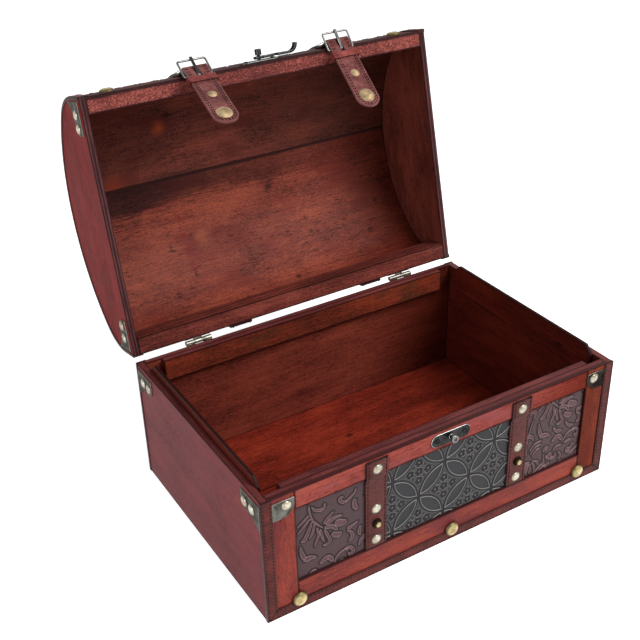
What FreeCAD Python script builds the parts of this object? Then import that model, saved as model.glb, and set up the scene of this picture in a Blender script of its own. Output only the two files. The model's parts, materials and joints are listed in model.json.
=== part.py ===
import FreeCAD, Part
import Sketcher
import math
import os

# Sea chest: a framed and leather-panelled box with a domed lid, shown with the lid open.
# +X runs to the chest's own right as seen from its front, +Y to the back, +Z up.
# The origin is the centre of the underside. Lengths are millimetres, angles degrees.

SIZES = (
    # whole chest
    ("chest_width", 330.0),
    ("chest_depth", 217.0),
    ("base_height", 112.0),
    ("lid_open_angle", 103.4),
    # leather binding round the edges
    ("binding_thickness", 1.0),
    ("binding_width", 9.0),
    ("binding_wrap_thickness", 0.5),
    ("binding_wrap_width", 3.0),
    # boards of the base
    ("wall_thickness", 5.0),
    ("end_thickness", 6.0),
    ("bottom_thickness", 6.0),
    ("facing_thickness", 2.5),
    ("batten_thickness", 6.2),
    ("back_batten_thickness", 5.5),
    ("batten_height", 20.0),
    ("batten_inset", 21.0),
    ("lip_thickness", 2.8),
    ("lip_rise", 7.0),
    ("lip_drop", 20.5),
    ("lip_setback", 17.0),
    # front frame, panels and straps
    ("stile_inset", 27.5),
    ("top_rail_height", 17.0),
    ("bottom_rail_top", 26.5),
    ("panel_thickness", 0.8),
    ("strap_inset", 96.5),
    ("strap_width", 19.5),
    ("strap_thickness", 1.6),
    ("strap_top_gap", 2.0),
    ("strap_drop", 4.0),
    # rivets, snap studs and dome nails
    ("rivet_radius", 3.75),
    ("rivet_height", 1.4),
    ("rivet_shank_radius", 1.0),
    ("rivet_shank_length", 4.0),
    ("strap_rivet_drop", 10.0),
    ("strap_rivet_middle", 63.6),
    ("strap_rivet_low", 33.8),
    ("stud_height_on_base", 50.0),
    ("stud_ring_radius", 4.5),
    ("stud_ring_height", 1.2),
    ("stud_nub_radius", 2.5),
    ("stud_height", 3.5),
    ("nail_radius", 6.25),
    ("nail_height", 3.0),
    ("nail_shank_radius", 1.2),
    ("nail_shank_length", 5.0),
    ("nail_inset", 27.6),
    ("nail_rise", 10.5),
    ("middle_nail_shift", 3.3),
    # corner brackets
    ("bracket_thickness", 0.8),
    ("front_bracket_width", 18.0),
    ("front_bracket_height", 15.5),
    ("front_bracket_round", 11.0),
    ("front_bracket_rivet_inset", 20.5),
    ("front_bracket_rivet_drop", 5.0),
    ("bracket_top_gap", 4.5),
    ("end_bracket_length", 27.0),
    ("end_bracket_arm", 15.5),
    ("end_bracket_corner_height", 24.0),
    ("end_bracket_leg_width", 9.0),
    ("end_bracket_round", 7.0),
    ("end_bracket_rivet_first", 10.5),
    ("end_bracket_rivet_second", 21.5),
    ("end_bracket_rivet_drop", 8.7),
    ("lid_bracket_inset", 1.2),
    # latch
    ("latch_shift", 1.5),
    ("plate_length", 36.5),
    ("plate_width", 11.0),
    ("plate_thickness", 1.2),
    ("plate_screw_inset", 5.5),
    ("keeper_drop", 8.0),
    ("keeper_neck_radius", 1.8),
    ("keeper_neck_length", 3.4),
    ("keeper_head_radius", 3.25),
    ("keeper_head_length", 2.2),
    ("keeper_dimple_radius", 1.5),
    ("keeper_dimple_depth", 1.2),
    ("latch_rise", 7.5),
    ("latch_post_radius", 1.5),
    ("latch_knob_radius", 2.8),
    ("latch_knob_length", 5.0),
    ("hook_thickness", 2.0),
    ("hook_gap", 1.1),
    ("hook_eye_radius", 4.6),
    ("hook_arm_low", 3.0),
    ("hook_arm_high", 4.0),
    ("hook_notch_radius", 2.2),
    ("hook_length", 37.0),
    ("hook_tail_radius", 8.0),
    ("hook_tail_half_height", 2.6),
    ("screw_radius", 2.0),
    ("screw_height", 0.8),
    ("screw_shank_radius", 1.0),
    ("screw_shank_length", 4.0),
    # hinges
    ("hinge_inset", 59.5),
    ("hinge_width", 24.0),
    ("hinge_leaf_height", 18.0),
    ("hinge_leaf_thickness", 1.0),
    ("hinge_axis_out", 2.6),
    ("hinge_axis_up", 0.5),
    ("knuckle_radius", 2.1),
    ("knuckle_gap", 0.2),
    ("hinge_pin_radius", 1.0),
    ("running_fit", 0.05),
    ("hinge_screw_spread", 7.5),
    ("hinge_screw_rise", 8.0),
    ("hinge_screw_step", 5.0),
    # lid
    ("lid_side_height", 20.0),
    ("lid_arch_rise", 69.0),
    ("lid_shoulder_radius", 46.0),
    ("lid_end_thickness", 5.7),
    ("lid_front_rail_depth", 13.7),
    ("lid_back_rail_depth", 14.5),
    ("lid_board_thickness", 4.5),
    ("lid_panel_thickness", 2.5),
    ("lid_board_seam", 17.0),
    # lid straps and their loose tabs
    ("lid_strap_width", 21.5),
    ("lid_strap_thickness", 2.5),
    ("lid_strap_shift", 5.5),
    ("lid_strap_tail_gap", 1.0),
    ("strap_ramp_top", 14.0),
    ("tab_pivot_out", 5.4),
    ("tab_pivot_up", 3.0),
    ("tab_thickness", 2.0),
    ("tab_gap", 0.3),
    ("tab_cap_reach", 65.0),
    ("tab_round_reach", 66.25),
    ("tab_rivet_reach", 40.0),
    ("tab_rivet_radius", 4.0),
    ("left_tab_droop", 32.0),
    ("right_tab_droop", 46.0),
    ("cap_radius", 7.0),
    ("cap_height", 2.8),
    ("cap_boss_radius", 4.6),
    ("cap_boss_length", 1.7),
    ("cap_recess_radius", 3.2),
    ("cap_recess_depth", 1.0),
    ("cap_neck_radius", 2.0),
    ("loop_reach", 15.0),
    ("loop_width", 7.0),
    ("loop_thickness", 1.3),
    ("loop_side_gap", 0.6),
    # buckles
    ("buckle_heel_reach", 10.5),
    ("buckle_heel_drop", 1.2),
    ("buckle_length", 16.5),
    ("buckle_half_width", 12.5),
    ("buckle_wire_radius", 0.9),
    ("buckle_corner_radius", 1.8),
    ("buckle_tilt", 16.0),
    ("heel_fold_radius", 1.9),
    ("heel_bore_gap", 0.1),
    ("slot_half_width", 2.2),
    ("slot_start", 2.2),
    ("slot_end", 14.2),
    ("prong_half_width", 1.2),
    ("prong_thickness", 1.2),
    ("prong_eye_thickness", 0.8),
    ("prong_overhang", 1.6),
    # overrun of a cut past the face it leaves
    ("cut_overrun", 1.0),
)

doc = FreeCAD.newDocument("sea_chest")
sheet = doc.addObject("Spreadsheet::Sheet", "Sizes")
for row, (alias, value) in enumerate(SIZES, start=1):
    sheet.set(f"A{row}", alias)
    sheet.set(f"B{row}", str(value))
    sheet.setAlias(f"B{row}", alias)
doc.recompute()


class Size:
    """A length with the sheet formula that gives it."""

    def __init__(self, value, formula):
        self.value = float(value)
        self.formula = formula

    @staticmethod
    def of(other):
        return other if isinstance(other, Size) else Size(other, str(other))

    def join(self, other, mark, value):
        return Size(value, f"({self.formula} {mark} {Size.of(other).formula})")

    def __add__(self, other):
        return self.join(other, "+", self.value + Size.of(other).value)

    def __sub__(self, other):
        return self.join(other, "-", self.value - Size.of(other).value)

    def __mul__(self, other):
        return self.join(other, "*", self.value * Size.of(other).value)

    def __truediv__(self, other):
        return self.join(other, "/", self.value / Size.of(other).value)

    def __neg__(self):
        return Size(-self.value, f"(-1 * {self.formula})")

    def root(self):
        return Size(math.sqrt(self.value), f"sqrt({self.formula})")


class Sheet:
    """Gives each alias of the sheet as a size."""

    def __getattr__(self, alias):
        return Size(sheet.get(alias), f"Sizes.{alias}")


d = Sheet()
NOTHING = Size(0, "0")
SIDES = (("left", -1), ("right", 1))


def span(first, second):
    return (first, second) if first.value <= second.value else (second, first)


def flat(*sizes):
    return FreeCAD.Vector(*(size.value for size in sizes))


# Sketches are drawn from corners (across, up); a third entry (centre, radius, turns left)
# makes the stretch that leaves the corner an arc.


def hold(sketch, kind, geometry, point, size):
    number = sketch.addConstraint(Sketcher.Constraint(kind, -1, 1, geometry, point, size.value))
    sketch.setExpression(f"Constraints[{number}]", size.formula)


def hold_radius(sketch, geometry, size):
    number = sketch.addConstraint(Sketcher.Constraint("Radius", geometry, size.value))
    sketch.setExpression(f"Constraints[{number}]", size.formula)


def draw(sketch, corners):
    starts, ends = [], []
    for corner, following in zip(corners, corners[1:] + corners[:1]):
        here, there = (flat(point[0], point[1], NOTHING) for point in (corner, following))
        if len(corner) == 2:
            geometry = sketch.addGeometry(Part.LineSegment(here, there))
            start, end = 1, 2
        else:
            centre, radius, turns_left = corner[2]
            middle = flat(centre[0], centre[1], NOTHING)
            angles = [math.atan2(p.y - middle.y, p.x - middle.x) for p in (here, there)]
            if not turns_left:
                angles.reverse()
            circle = Part.Circle(middle, FreeCAD.Vector(0, 0, 1), radius.value)
            geometry = sketch.addGeometry(Part.ArcOfCircle(circle, *angles))
            start, end = (1, 2) if turns_left else (2, 1)
        starts.append((geometry, start))
        ends.append((geometry, end))
    for end, start in zip(ends, starts[1:] + starts[:1]):
        sketch.addConstraint(Sketcher.Constraint("Coincident", *end, *start))
    for corner, following, start in zip(corners, corners[1:] + corners[:1], starts):
        hold(sketch, "DistanceX", *start, corner[0])
        hold(sketch, "DistanceY", *start, corner[1])
        if len(corner) > 2:
            run, climb = (abs(following[way].value - corner[way].value) for way in (0, 1))
            way = 0 if climb > run else 1
            hold(sketch, ("DistanceX", "DistanceY")[way], start[0], 3, corner[2][0][way])


def draw_circle(sketch, centre, radius):
    middle = flat(centre[0], centre[1], NOTHING)
    geometry = sketch.addGeometry(Part.Circle(middle, FreeCAD.Vector(0, 0, 1), radius.value))
    hold(sketch, "DistanceX", geometry, 3, centre[0])
    hold(sketch, "DistanceY", geometry, 3, centre[1])
    hold_radius(sketch, geometry, radius)


def sketch_on(body, role, offset):
    sketch = body.newObject("Sketcher::SketchObject", f"{body.Name}_sketch")
    plane = [f for f in body.Origin.OriginFeatures if f.Role == f"{role}_Plane"][0]
    sketch.AttachmentSupport = [(plane, "")]
    sketch.MapMode = "FlatFace"
    sketch.setExpression("AttachmentOffset.Base.z", offset.formula)
    return sketch


def fill(sketch, corners, circle, holes):
    if corners:
        draw(sketch, corners)
    if circle:
        draw_circle(sketch, *circle)
    for hole in holes:
        draw_circle(sketch, *hole)


def pad(body, role, reach, corners=None, circle=None, holes=()):
    """Adds a slab between two places along the plane's axis; the XZ plane looks along -Y."""
    start, end = reach
    sketch = sketch_on(body, role, -end if role == "XZ" else start)
    fill(sketch, corners, circle, holes)
    feature = body.newObject("PartDesign::Pad", f"{body.Name}_pad")
    feature.Profile = sketch
    feature.setExpression("Length", (end - start).formula)
    return body


def cut(body, role, reach, corners=None, circle=None):
    start, end = reach
    sketch = sketch_on(body, role, -start if role == "XZ" else end)
    fill(sketch, corners, circle, ())
    feature = body.newObject("PartDesign::Pocket", f"{body.Name}_cut")
    feature.Profile = sketch
    feature.setExpression("Length", (end - start).formula)
    return body


nodes = {}


def piece(label, where):
    """A body of its own that becomes a node; where says which moving part carries it."""
    body = doc.addObject("PartDesign::Body", label)
    body.Label = label
    nodes[label] = (body, where)
    return body


def member(label):
    """A body that is one solid of a group."""
    body = doc.addObject("PartDesign::Body", label)
    body.Label = label
    return body


def group(label, bodies, where):
    together = doc.addObject("Part::Compound", label)
    together.Label = label
    together.Links = bodies
    nodes[label] = (together, where)


def shapes(label, solids, where):
    feature = doc.addObject("Part::Feature", label)
    feature.Label = label
    feature.Shape = Part.makeCompound(solids)
    nodes[label] = (feature, where)


def rectangle(across, up):
    (left, right), (low, high) = across, up
    return [(left, low), (right, low), (right, high), (left, high)]


def board(body, x, y, z):
    return pad(body, "XY", z, rectangle(x, y))


# Faces that pieces share, from the outside inwards.
half_width = d.chest_width / 2
half_depth = d.chest_depth / 2
front, back, rim = -half_depth, half_depth, d.base_height
face = front + d.binding_thickness
wall_face = face + d.facing_thickness
wall_inside = wall_face + d.wall_thickness
back_face = back - d.binding_thickness
back_inside = back_face - d.wall_thickness
end_face = half_width - d.binding_wrap_thickness
end_inside = end_face - d.end_thickness
between_ends = (-end_inside, end_inside)
rail_low = rim - d.top_rail_height
panel_face = wall_face - d.panel_thickness
opening = half_width - d.stile_inset

# Base: bottom, walls and the inner battens and lips.
board(piece("bottom_board", "base"), between_ends, (wall_inside, back_inside),
      (NOTHING, d.bottom_thickness))
board(piece("front_wall", "base"), between_ends, (wall_face, wall_inside), (NOTHING, rim))
board(piece("back_wall", "base"), between_ends, (back_inside, back_face), (NOTHING, rim))
batten_end = half_width - d.batten_inset
batten_place = (-batten_end, batten_end), (rim - d.batten_height, rim)
board(piece("front_batten", "base"), batten_place[0],
      (wall_inside, wall_inside + d.batten_thickness), batten_place[1])
board(piece("back_batten", "base"), batten_place[0],
      (back_inside - d.back_batten_thickness, back_inside), batten_place[1])
lip_end = half_depth - d.lip_setback
lip_outline = [
    (-lip_end, rim - d.lip_drop), (lip_end, rim - d.lip_drop), (lip_end, rim),
    (lip_end - d.lip_rise, rim + d.lip_rise), (d.lip_rise - lip_end, rim + d.lip_rise), (-lip_end, rim)]
for side, sign in SIDES:
    board(piece(f"{side}_end_wall", "base"), span(end_inside * sign, end_face * sign),
          (face, back_face), (NOTHING, rim))
    pad(piece(f"{side}_lip_strip", "base"), "YZ",
        span((end_inside - d.lip_thickness) * sign, end_inside * sign), lip_outline)

# Front frame: stiles run full height, rails between them.
for side, sign in SIDES:
    board(piece(f"front_{side}_stile", "base"), span(opening * sign, end_inside * sign),
          (face, wall_face), (NOTHING, rim))
board(piece("front_top_rail", "base"), (-opening, opening), (face, wall_face), (rail_low, rim))
board(piece("front_bottom_rail", "base"), (-opening, opening), (face, wall_face),
      (NOTHING, d.bottom_rail_top))

# Leather panels and straps of the front. The panels meet under the straps.
strap_at = half_width - d.strap_inset
for label, left, right in (("left_scroll_panel", -opening, -strap_at),
                           ("centre_ring_panel", -strap_at, strap_at),
                           ("right_scroll_panel", strap_at, opening)):
    board(piece(label, "base"), (left, right), (panel_face, wall_face), (d.bottom_rail_top, rail_low))
strap_out = face - d.strap_thickness
strap_low = panel_face - d.strap_thickness
strap_top = rim - d.strap_top_gap
strap_outline = [
    (strap_out, strap_top), (strap_out, rail_low), (strap_low, rail_low - d.strap_drop),
    (strap_low, d.bottom_rail_top), (panel_face, d.bottom_rail_top), (panel_face, rail_low),
    (face, rail_low), (face, strap_top)]
for side, sign in SIDES:
    middle = strap_at * sign
    pad(piece(f"{side}_front_strap", "base"), "YZ",
        (middle - d.strap_width / 2, middle + d.strap_width / 2), strap_outline)


# Round fittings are turned about their own axis: +Z points out of the face they stand on.


def turned(points, arc_at=None):
    """Turns a half profile of (radius, height) points; arc_at gives the point an arc passes."""
    corners = [FreeCAD.Vector(radius, 0, height) for radius, height in points]
    edges = []
    for number, (here, there) in enumerate(zip(corners, corners[1:] + corners[:1])):
        if arc_at and number == arc_at[0]:
            edges.append(Part.Arc(here, FreeCAD.Vector(arc_at[1], 0, arc_at[2]), there).toShape())
        else:
            edges.append(Part.makeLine(here, there))
    solid = Part.Face(Part.Wire(edges)).revolve(FreeCAD.Vector(), FreeCAD.Vector(0, 0, 1), 360)
    return solid if solid.Volume > 0 else solid.reversed()


def dome_stud(radius, height, shank_radius, shank_length):
    ball = (radius.value ** 2 + height.value ** 2) / (2 * height.value)
    half_turn = math.asin(radius.value / ball) / 2
    passing = ball * math.sin(half_turn), height.value - ball * (1 - math.cos(half_turn))
    points = [(0, height.value), (radius.value, 0), (shank_radius.value, 0),
              (shank_radius.value, -shank_length.value), (0, -shank_length.value)]
    return turned(points, (0, *passing))


def stood(solid, place, outward):
    turn = FreeCAD.Rotation(FreeCAD.Vector(0, 0, 1), FreeCAD.Vector(*outward))
    copy = solid.copy()
    copy.Placement = FreeCAD.Placement(flat(*place), turn)
    return copy


FRONT, BACK, LEFT, RIGHT = (0, -1, 0), (0, 1, 0), (-1, 0, 0), (1, 0, 0)
rivet = dome_stud(d.rivet_radius, d.rivet_height, d.rivet_shank_radius, d.rivet_shank_length)
nail = dome_stud(d.nail_radius, d.nail_height, d.nail_shank_radius, d.nail_shank_length)
screw = dome_stud(d.screw_radius, d.screw_height, d.screw_shank_radius, d.screw_shank_length)
snap_stud = turned([
    (0, d.stud_height.value), (d.stud_nub_radius.value, d.stud_height.value),
    (d.stud_nub_radius.value, d.stud_ring_height.value),
    (d.stud_ring_radius.value, d.stud_ring_height.value), (d.stud_ring_radius.value, 0),
    (d.rivet_shank_radius.value, 0), (d.rivet_shank_radius.value, -d.rivet_shank_length.value),
    (0, -d.rivet_shank_length.value)])
strap_rivets, studs = [], []
for side, sign in SIDES:
    strap_rivets.append(stood(rivet, (strap_at * sign, strap_out, rim - d.strap_rivet_drop), FRONT))
    for height in (d.strap_rivet_middle, d.strap_rivet_low):
        strap_rivets.append(stood(rivet, (strap_at * sign, strap_low, height), FRONT))
    studs.append(stood(snap_stud, (strap_at * sign, strap_low, d.stud_height_on_base), FRONT))
shapes("snap_studs", studs, "base")
nail_at = half_width - d.nail_inset
shapes("base_dome_nails",
       [stood(nail, (x, front, d.nail_rise), FRONT) for x in (-nail_at, d.middle_nail_shift, nail_at)],
       "base")

# Leather binding of the base edges: mitred at the lower corners, with a thin wrap on the ends.
binding_in = half_width - d.binding_width


def upright_binding(body, sign, layer, wrap):
    strip = [(half_width * sign, NOTHING), (binding_in * sign, d.binding_width),
             (binding_in * sign, rim), (half_width * sign, rim)]
    pad(body, "XZ", layer, strip)
    return pad(body, "YZ", span(end_face * sign, half_width * sign), rectangle(wrap, (NOTHING, rim)))


def low_binding(body, layer):
    strip = [(-half_width, NOTHING), (half_width, NOTHING), (binding_in, d.binding_width),
             (-binding_in, d.binding_width)]
    return pad(body, "XZ", layer, strip)


front_layer, back_layer = (front, face), (back_face, back)
front_wrap = face, front + d.binding_wrap_width
back_wrap = back - d.binding_wrap_width, back_face
group("front_side_bindings",
      [upright_binding(member(f"front_{side}_binding"), sign, front_layer, front_wrap)
       for side, sign in SIDES], "base")
low_binding(piece("front_bottom_binding", "base"), front_layer)
group("back_bindings",
      [upright_binding(member(f"back_{side}_binding"), sign, back_layer, back_wrap)
       for side, sign in SIDES] + [low_binding(member("back_low_binding"), back_layer)], "base")

# Corner brackets of the base: a plate on the face and one on the end, both round at the far corner.
bracket_top = rim - d.bracket_top_gap
rivet_hole = d.rivet_shank_radius
wrap_edge = half_depth - d.binding_wrap_width


def round_corner(tip, low, radius, towards, down):
    """The far lower corner of a plate, from its tip edge to its lower edge."""
    centre = tip + radius * towards, low - radius * down
    return [(tip, centre[1], (centre, radius, towards * down < 0)), (centre[0], low)]


plates, base_rivets = [], strap_rivets
for side, sign in SIDES:
    edge = binding_in * sign
    tip = edge - d.front_bracket_width * sign
    low = bracket_top - d.front_bracket_height
    outline = [(edge, bracket_top), (tip, bracket_top),
               *round_corner(tip, low, d.front_bracket_round, sign, -1), (edge, low)]
    spot = (half_width - d.front_bracket_rivet_inset) * sign, bracket_top - d.front_bracket_rivet_drop
    for name, layer, out, outward in (
            ("front", (face - d.bracket_thickness, face), face - d.bracket_thickness, FRONT),
            ("back", (back_face, back_face + d.bracket_thickness), back_face + d.bracket_thickness, BACK)):
        plates.append(pad(member(f"{name}_{side}_bracket"), "XZ", layer, outline,
                          holes=[(spot, rivet_hole)]))
        base_rivets.append(stood(rivet, (spot[0], out, spot[1]), outward))


def end_plate(label, sign, edge, towards, top, down):
    """A plate on an end face; towards is -1 at the front, down is -1 below the rim."""
    tip = edge - d.end_bracket_length * towards
    low = top + d.end_bracket_arm * down
    corners = [(edge, top), (tip, top), *round_corner(tip, low, d.end_bracket_round, towards, down),
               (edge - d.end_bracket_leg_width * towards, low),
               (edge, top + d.end_bracket_corner_height * down)]
    places = [(edge - inset * towards, top + d.end_bracket_rivet_drop * down)
              for inset in (d.end_bracket_rivet_first, d.end_bracket_rivet_second)]
    out = (end_face + d.bracket_thickness) * sign
    plate = pad(member(label), "YZ", span(end_face * sign, out), corners,
                holes=[(place, rivet_hole) for place in places])
    outward = LEFT if sign < 0 else RIGHT
    return plate, [stood(rivet, (out, *place), outward) for place in places]


for side, sign in SIDES:
    for name, towards in (("front", -1), ("back", 1)):
        plate, rivets = end_plate(f"base_{name}_{side}_end_bracket", sign, wrap_edge * towards, towards,
                                  bracket_top, -1)
        plates.append(plate)
        base_rivets.extend(rivets)
group("base_corner_brackets", plates, "base")
shapes("base_rivets", base_rivets, "base")

# Latch keeper: a round-ended plate with a headed knob.
latch_at = -d.latch_shift
plate_end = d.plate_length / 2 - d.plate_width / 2
screw_reach = d.plate_length / 2 - d.plate_screw_inset


def round_plate(body, height):
    low, high = height - d.plate_width / 2, height + d.plate_width / 2
    left, right = latch_at - plate_end, latch_at + plate_end
    outline = [(left, low), (right, low, ((right, height), d.plate_width / 2, True)),
               (right, high), (left, high, ((left, height), d.plate_width / 2, True))]
    holes = [((latch_at + screw_reach * way, height), d.screw_shank_radius) for way in (-1, 1)]
    return pad(body, "XZ", (face - d.plate_thickness, face), outline, holes=holes)


plate_out = face - d.plate_thickness
keeper_height = rim - d.keeper_drop
keeper = round_plate(piece("latch_keeper", "base"), keeper_height)
neck_out = plate_out - d.keeper_neck_length
head_out = neck_out - d.keeper_head_length
keeper_spot = latch_at, keeper_height
pad(keeper, "XZ", (neck_out, plate_out), circle=(keeper_spot, d.keeper_neck_radius))
pad(keeper, "XZ", (head_out, neck_out), circle=(keeper_spot, d.keeper_head_radius))
cut(keeper, "XZ", (head_out, head_out + d.keeper_dimple_depth),
    circle=(keeper_spot, d.keeper_dimple_radius))


def plate_screws(height):
    return [stood(screw, (latch_at + screw_reach * way, plate_out, height), FRONT) for way in (-1, 1)]


# Hinges: each leaf is a flat plate on the outer back face with knuckles on a short web.
hinge_at = half_width - d.hinge_inset
axis_out, axis_up = back + d.hinge_axis_out, rim + d.hinge_axis_up
leaf_out = back_face + d.hinge_leaf_thickness
knuckle_length = (d.hinge_width - d.knuckle_gap * 2) / 3
web_half = d.knuckle_radius - d.hinge_pin_radius - d.running_fit


def leaf(body, middle, way, knuckles):
    """way is -1 for the leaf that hangs below the axis, 1 for the one on the lid."""
    far = axis_up + d.knuckle_radius * way
    near = far - web_half * way
    left, right = middle - d.hinge_width / 2, middle + d.hinge_width / 2
    spots = hinge_screw_spots(middle, way)
    pad(body, "XZ", (back_face, leaf_out),
        rectangle((left, right), span(near, far + d.hinge_leaf_height * way)),
        holes=[(spot, d.screw_shank_radius) for spot in spots])
    bore = d.hinge_pin_radius + d.running_fit
    for number in knuckles:
        start = left + (knuckle_length + d.knuckle_gap) * number
        reach = start, start + knuckle_length
        pad(body, "YZ", reach, rectangle((back_face, axis_out), span(near, far)))
        pad(body, "YZ", reach, circle=((axis_out, axis_up), d.knuckle_radius))
        cut(body, "YZ", reach, circle=((axis_out, axis_up), bore))
    return body


def hinge_screw_spots(middle, way):
    height = axis_up + (d.knuckle_radius + d.hinge_screw_rise) * way
    outer = height + d.hinge_screw_step * way
    return [(middle - d.hinge_screw_spread, height), (middle, outer),
            (middle + d.hinge_screw_spread, height)]


def hinge_screws(way):
    return [stood(screw, (x, leaf_out, z), BACK) for side, sign in SIDES
            for x, z in hinge_screw_spots(hinge_at * sign, way)]


pins = []
for side, sign in SIDES:
    middle = hinge_at * sign
    leaf(piece(f"{side}_hinge_base_leaf", "base"), middle, -1, (0, 2))
    leaf(piece(f"{side}_hinge_lid_leaf", "lid"), middle, 1, (1,))
    pins.append(Part.makeCylinder(d.hinge_pin_radius.value, d.hinge_width.value,
                                  flat(middle - d.hinge_width / 2, axis_out, axis_up),
                                  FreeCAD.Vector(1, 0, 0)))
shapes("hinge_pins", pins, "base")
shapes("base_screws", plate_screws(keeper_height) + hinge_screws(-1), "base")

# Lid, drawn shut on the rim. Its section is a three-centre arch on straight sides;
# depth counts inwards from the outer face, so every layer keeps the same centres.
spring = rim + d.lid_side_height
shoulder_in = half_depth - d.lid_shoulder_radius
shoulder_up = d.lid_arch_rise - d.lid_shoulder_radius
crown_drop = (shoulder_in * shoulder_in - shoulder_up * shoulder_up) / (shoulder_up * 2)
crown_radius = d.lid_arch_rise + crown_drop
crown_centre = NOTHING, spring - crown_drop
crown_less = crown_radius - d.lid_shoulder_radius


def arch(depth, over):
    """Corners of the arch at one depth, from the front over to the back, or the other way."""
    side = half_depth - depth
    radius = d.lid_shoulder_radius - depth
    crown = crown_radius - depth
    turn_out, turn_up = shoulder_in / crown_less * crown, crown_centre[1] + crown_drop / crown_less * crown
    way = 1 if over else -1
    near = (-shoulder_in * way, spring), radius, not over
    far = (shoulder_in * way, spring), radius, not over
    top = crown_centre, crown, not over
    return [(-side * way, spring, near), (-turn_out * way, turn_up, top), (turn_out * way, turn_up, far),
            (side * way, spring)]


def feet(depth, height, over):
    side = (half_depth - depth) * (1 if over else -1)
    return [(-side, height)], [(side, height)]


def band(outer, inner, height=None):
    """Section of a layer over the whole arch, with straight sides down to a height."""
    if height is None:
        return arch(outer, True) + arch(inner, False)
    first, second = feet(outer, height, True)
    third, fourth = feet(inner, height, False)
    return first + arch(outer, True) + second + third + arch(inner, False) + fourth


lid_inside = end_face - d.lid_end_thickness
lid_between = (-lid_inside, lid_inside)
panel_depth = d.binding_thickness
board_depth = panel_depth + d.lid_panel_thickness
board_inside = board_depth + d.lid_board_thickness
first, second = feet(panel_depth, rim, True)
end_outline = first + arch(panel_depth, True) + second
for side, sign in SIDES:
    pad(piece(f"lid_{side}_end", "lid"), "YZ", span(lid_inside * sign, end_face * sign), end_outline)
board(piece("lid_front_rail", "lid"), lid_between, (face, face + d.lid_front_rail_depth), (rim, spring))
board(piece("lid_back_rail", "lid"), lid_between, (back_face - d.lid_back_rail_depth, back_face),
      (rim, spring))


def seam_point(depth):
    crown = crown_radius - depth
    lean = d.lid_board_seam / crown_radius
    level = (NOTHING + 1 - lean * lean).root()
    return -lean * crown, crown_centre[1] + level * crown


def curved_board(body, at_front):
    outer, inner = arch(board_depth, True), arch(board_inside, False)
    outer_seam, inner_seam = seam_point(board_depth), seam_point(board_inside)
    if at_front:
        corners = outer[:2] + [outer_seam, (*inner_seam, inner[1][2])] + inner[2:]
    else:
        corners = [(*outer_seam, outer[1][2])] + outer[2:] + inner[:2] + [inner_seam]
    return pad(body, "YZ", lid_between, corners)


curved_board(piece("lid_front_board", "lid"), True)
curved_board(piece("lid_rear_board", "lid"), False)
lid_strap_at = [strap_at * sign + d.lid_strap_shift for side, sign in SIDES]
for label, left, right in (("lid_left_panel", -lid_inside, lid_strap_at[0]),
                           ("lid_centre_panel", lid_strap_at[0], lid_strap_at[1]),
                           ("lid_right_panel", lid_strap_at[1], lid_inside)):
    pad(piece(label, "lid"), "YZ", (left, right), band(panel_depth, board_depth))
lid_bindings = []
for side, sign in SIDES:
    body = member(f"lid_{side}_binding")
    pad(body, "YZ", span(binding_in * sign, half_width * sign), band(NOTHING, panel_depth, rim))
    pad(body, "YZ", span(end_face * sign, half_width * sign), band(NOTHING, d.binding_wrap_width, rim))
    lid_bindings.append(body)
group("lid_end_bindings", lid_bindings, "lid")

# Corner brackets, nails and latch plate of the lid.
lid_plates, lid_rivets = [], []
for side, sign in SIDES:
    for name, towards in (("front", -1), ("back", 1)):
        edge = (wrap_edge - d.lid_bracket_inset) * towards
        plate, rivets = end_plate(f"lid_{name}_{side}_bracket", sign, edge, towards,
                                  rim + d.bracket_top_gap, 1)
        lid_plates.append(plate)
        lid_rivets.extend(rivets)
group("lid_corner_brackets", lid_plates, "lid")
shapes("lid_rivets", lid_rivets, "lid")
shapes("lid_dome_nails",
       [stood(nail, (nail_at * sign, face, rim + d.nail_rise), FRONT) for side, sign in SIDES], "lid")
latch_height = rim + d.latch_rise
latch_spot = latch_at, latch_height
latch = round_plate(piece("latch_plate", "lid"), latch_height)
hook_back = plate_out - d.hook_gap
hook_out = hook_back - d.hook_thickness
knob_in = hook_out - d.hook_gap
pad(latch, "XZ", (knob_in, plate_out), circle=(latch_spot, d.latch_post_radius))
pad(latch, "XZ", (knob_in - d.latch_knob_length, knob_in), circle=(latch_spot, d.latch_knob_radius))
shapes("lid_screws", plate_screws(latch_height) + hinge_screws(1), "lid")

# Latch hook: an eye on the post, an arm with a notch for the keeper and an upturned tail.
hook = piece("latch_hook", "hook")
hook_reach = hook_back - d.hook_thickness, hook_back
notch_at = latch_at + d.latch_rise + d.keeper_drop
notch_left, notch_right = notch_at - d.hook_notch_radius, notch_at + d.hook_notch_radius
tail_at = latch_at + d.hook_length - d.hook_tail_radius
arm_low, arm_high = latch_height - d.hook_arm_low, latch_height + d.hook_arm_high
tail_low = latch_height - d.hook_tail_half_height
tail_high = latch_height + d.hook_tail_half_height
notch_round = (notch_at, latch_height), d.hook_notch_radius, False
pad(hook, "XZ", hook_reach, [
    (latch_at, arm_low), (notch_left, arm_low), (notch_left, latch_height, notch_round),
    (notch_right, latch_height), (notch_right, arm_low), (tail_at, tail_low), (tail_at, tail_high),
    (notch_right, arm_high), (latch_at, arm_high)])
pad(hook, "XZ", hook_reach, circle=(latch_spot, d.hook_eye_radius))
tail_middle = tail_at, hook_back - d.hook_tail_radius
tail_inner = d.hook_tail_radius - d.hook_thickness
pad(hook, "XY", (tail_low, tail_high), [
    (tail_at, hook_back, (tail_middle, d.hook_tail_radius, False)),
    (tail_at + d.hook_tail_radius, tail_middle[1]), (tail_at + tail_inner, tail_middle[1],
                                                     (tail_middle, tail_inner, True)),
    (tail_at, hook_out)])
cut(hook, "XZ", (hook_out - d.cut_overrun, hook_back + d.cut_overrun),
    circle=(latch_spot, d.latch_post_radius + d.running_fit))

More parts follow.
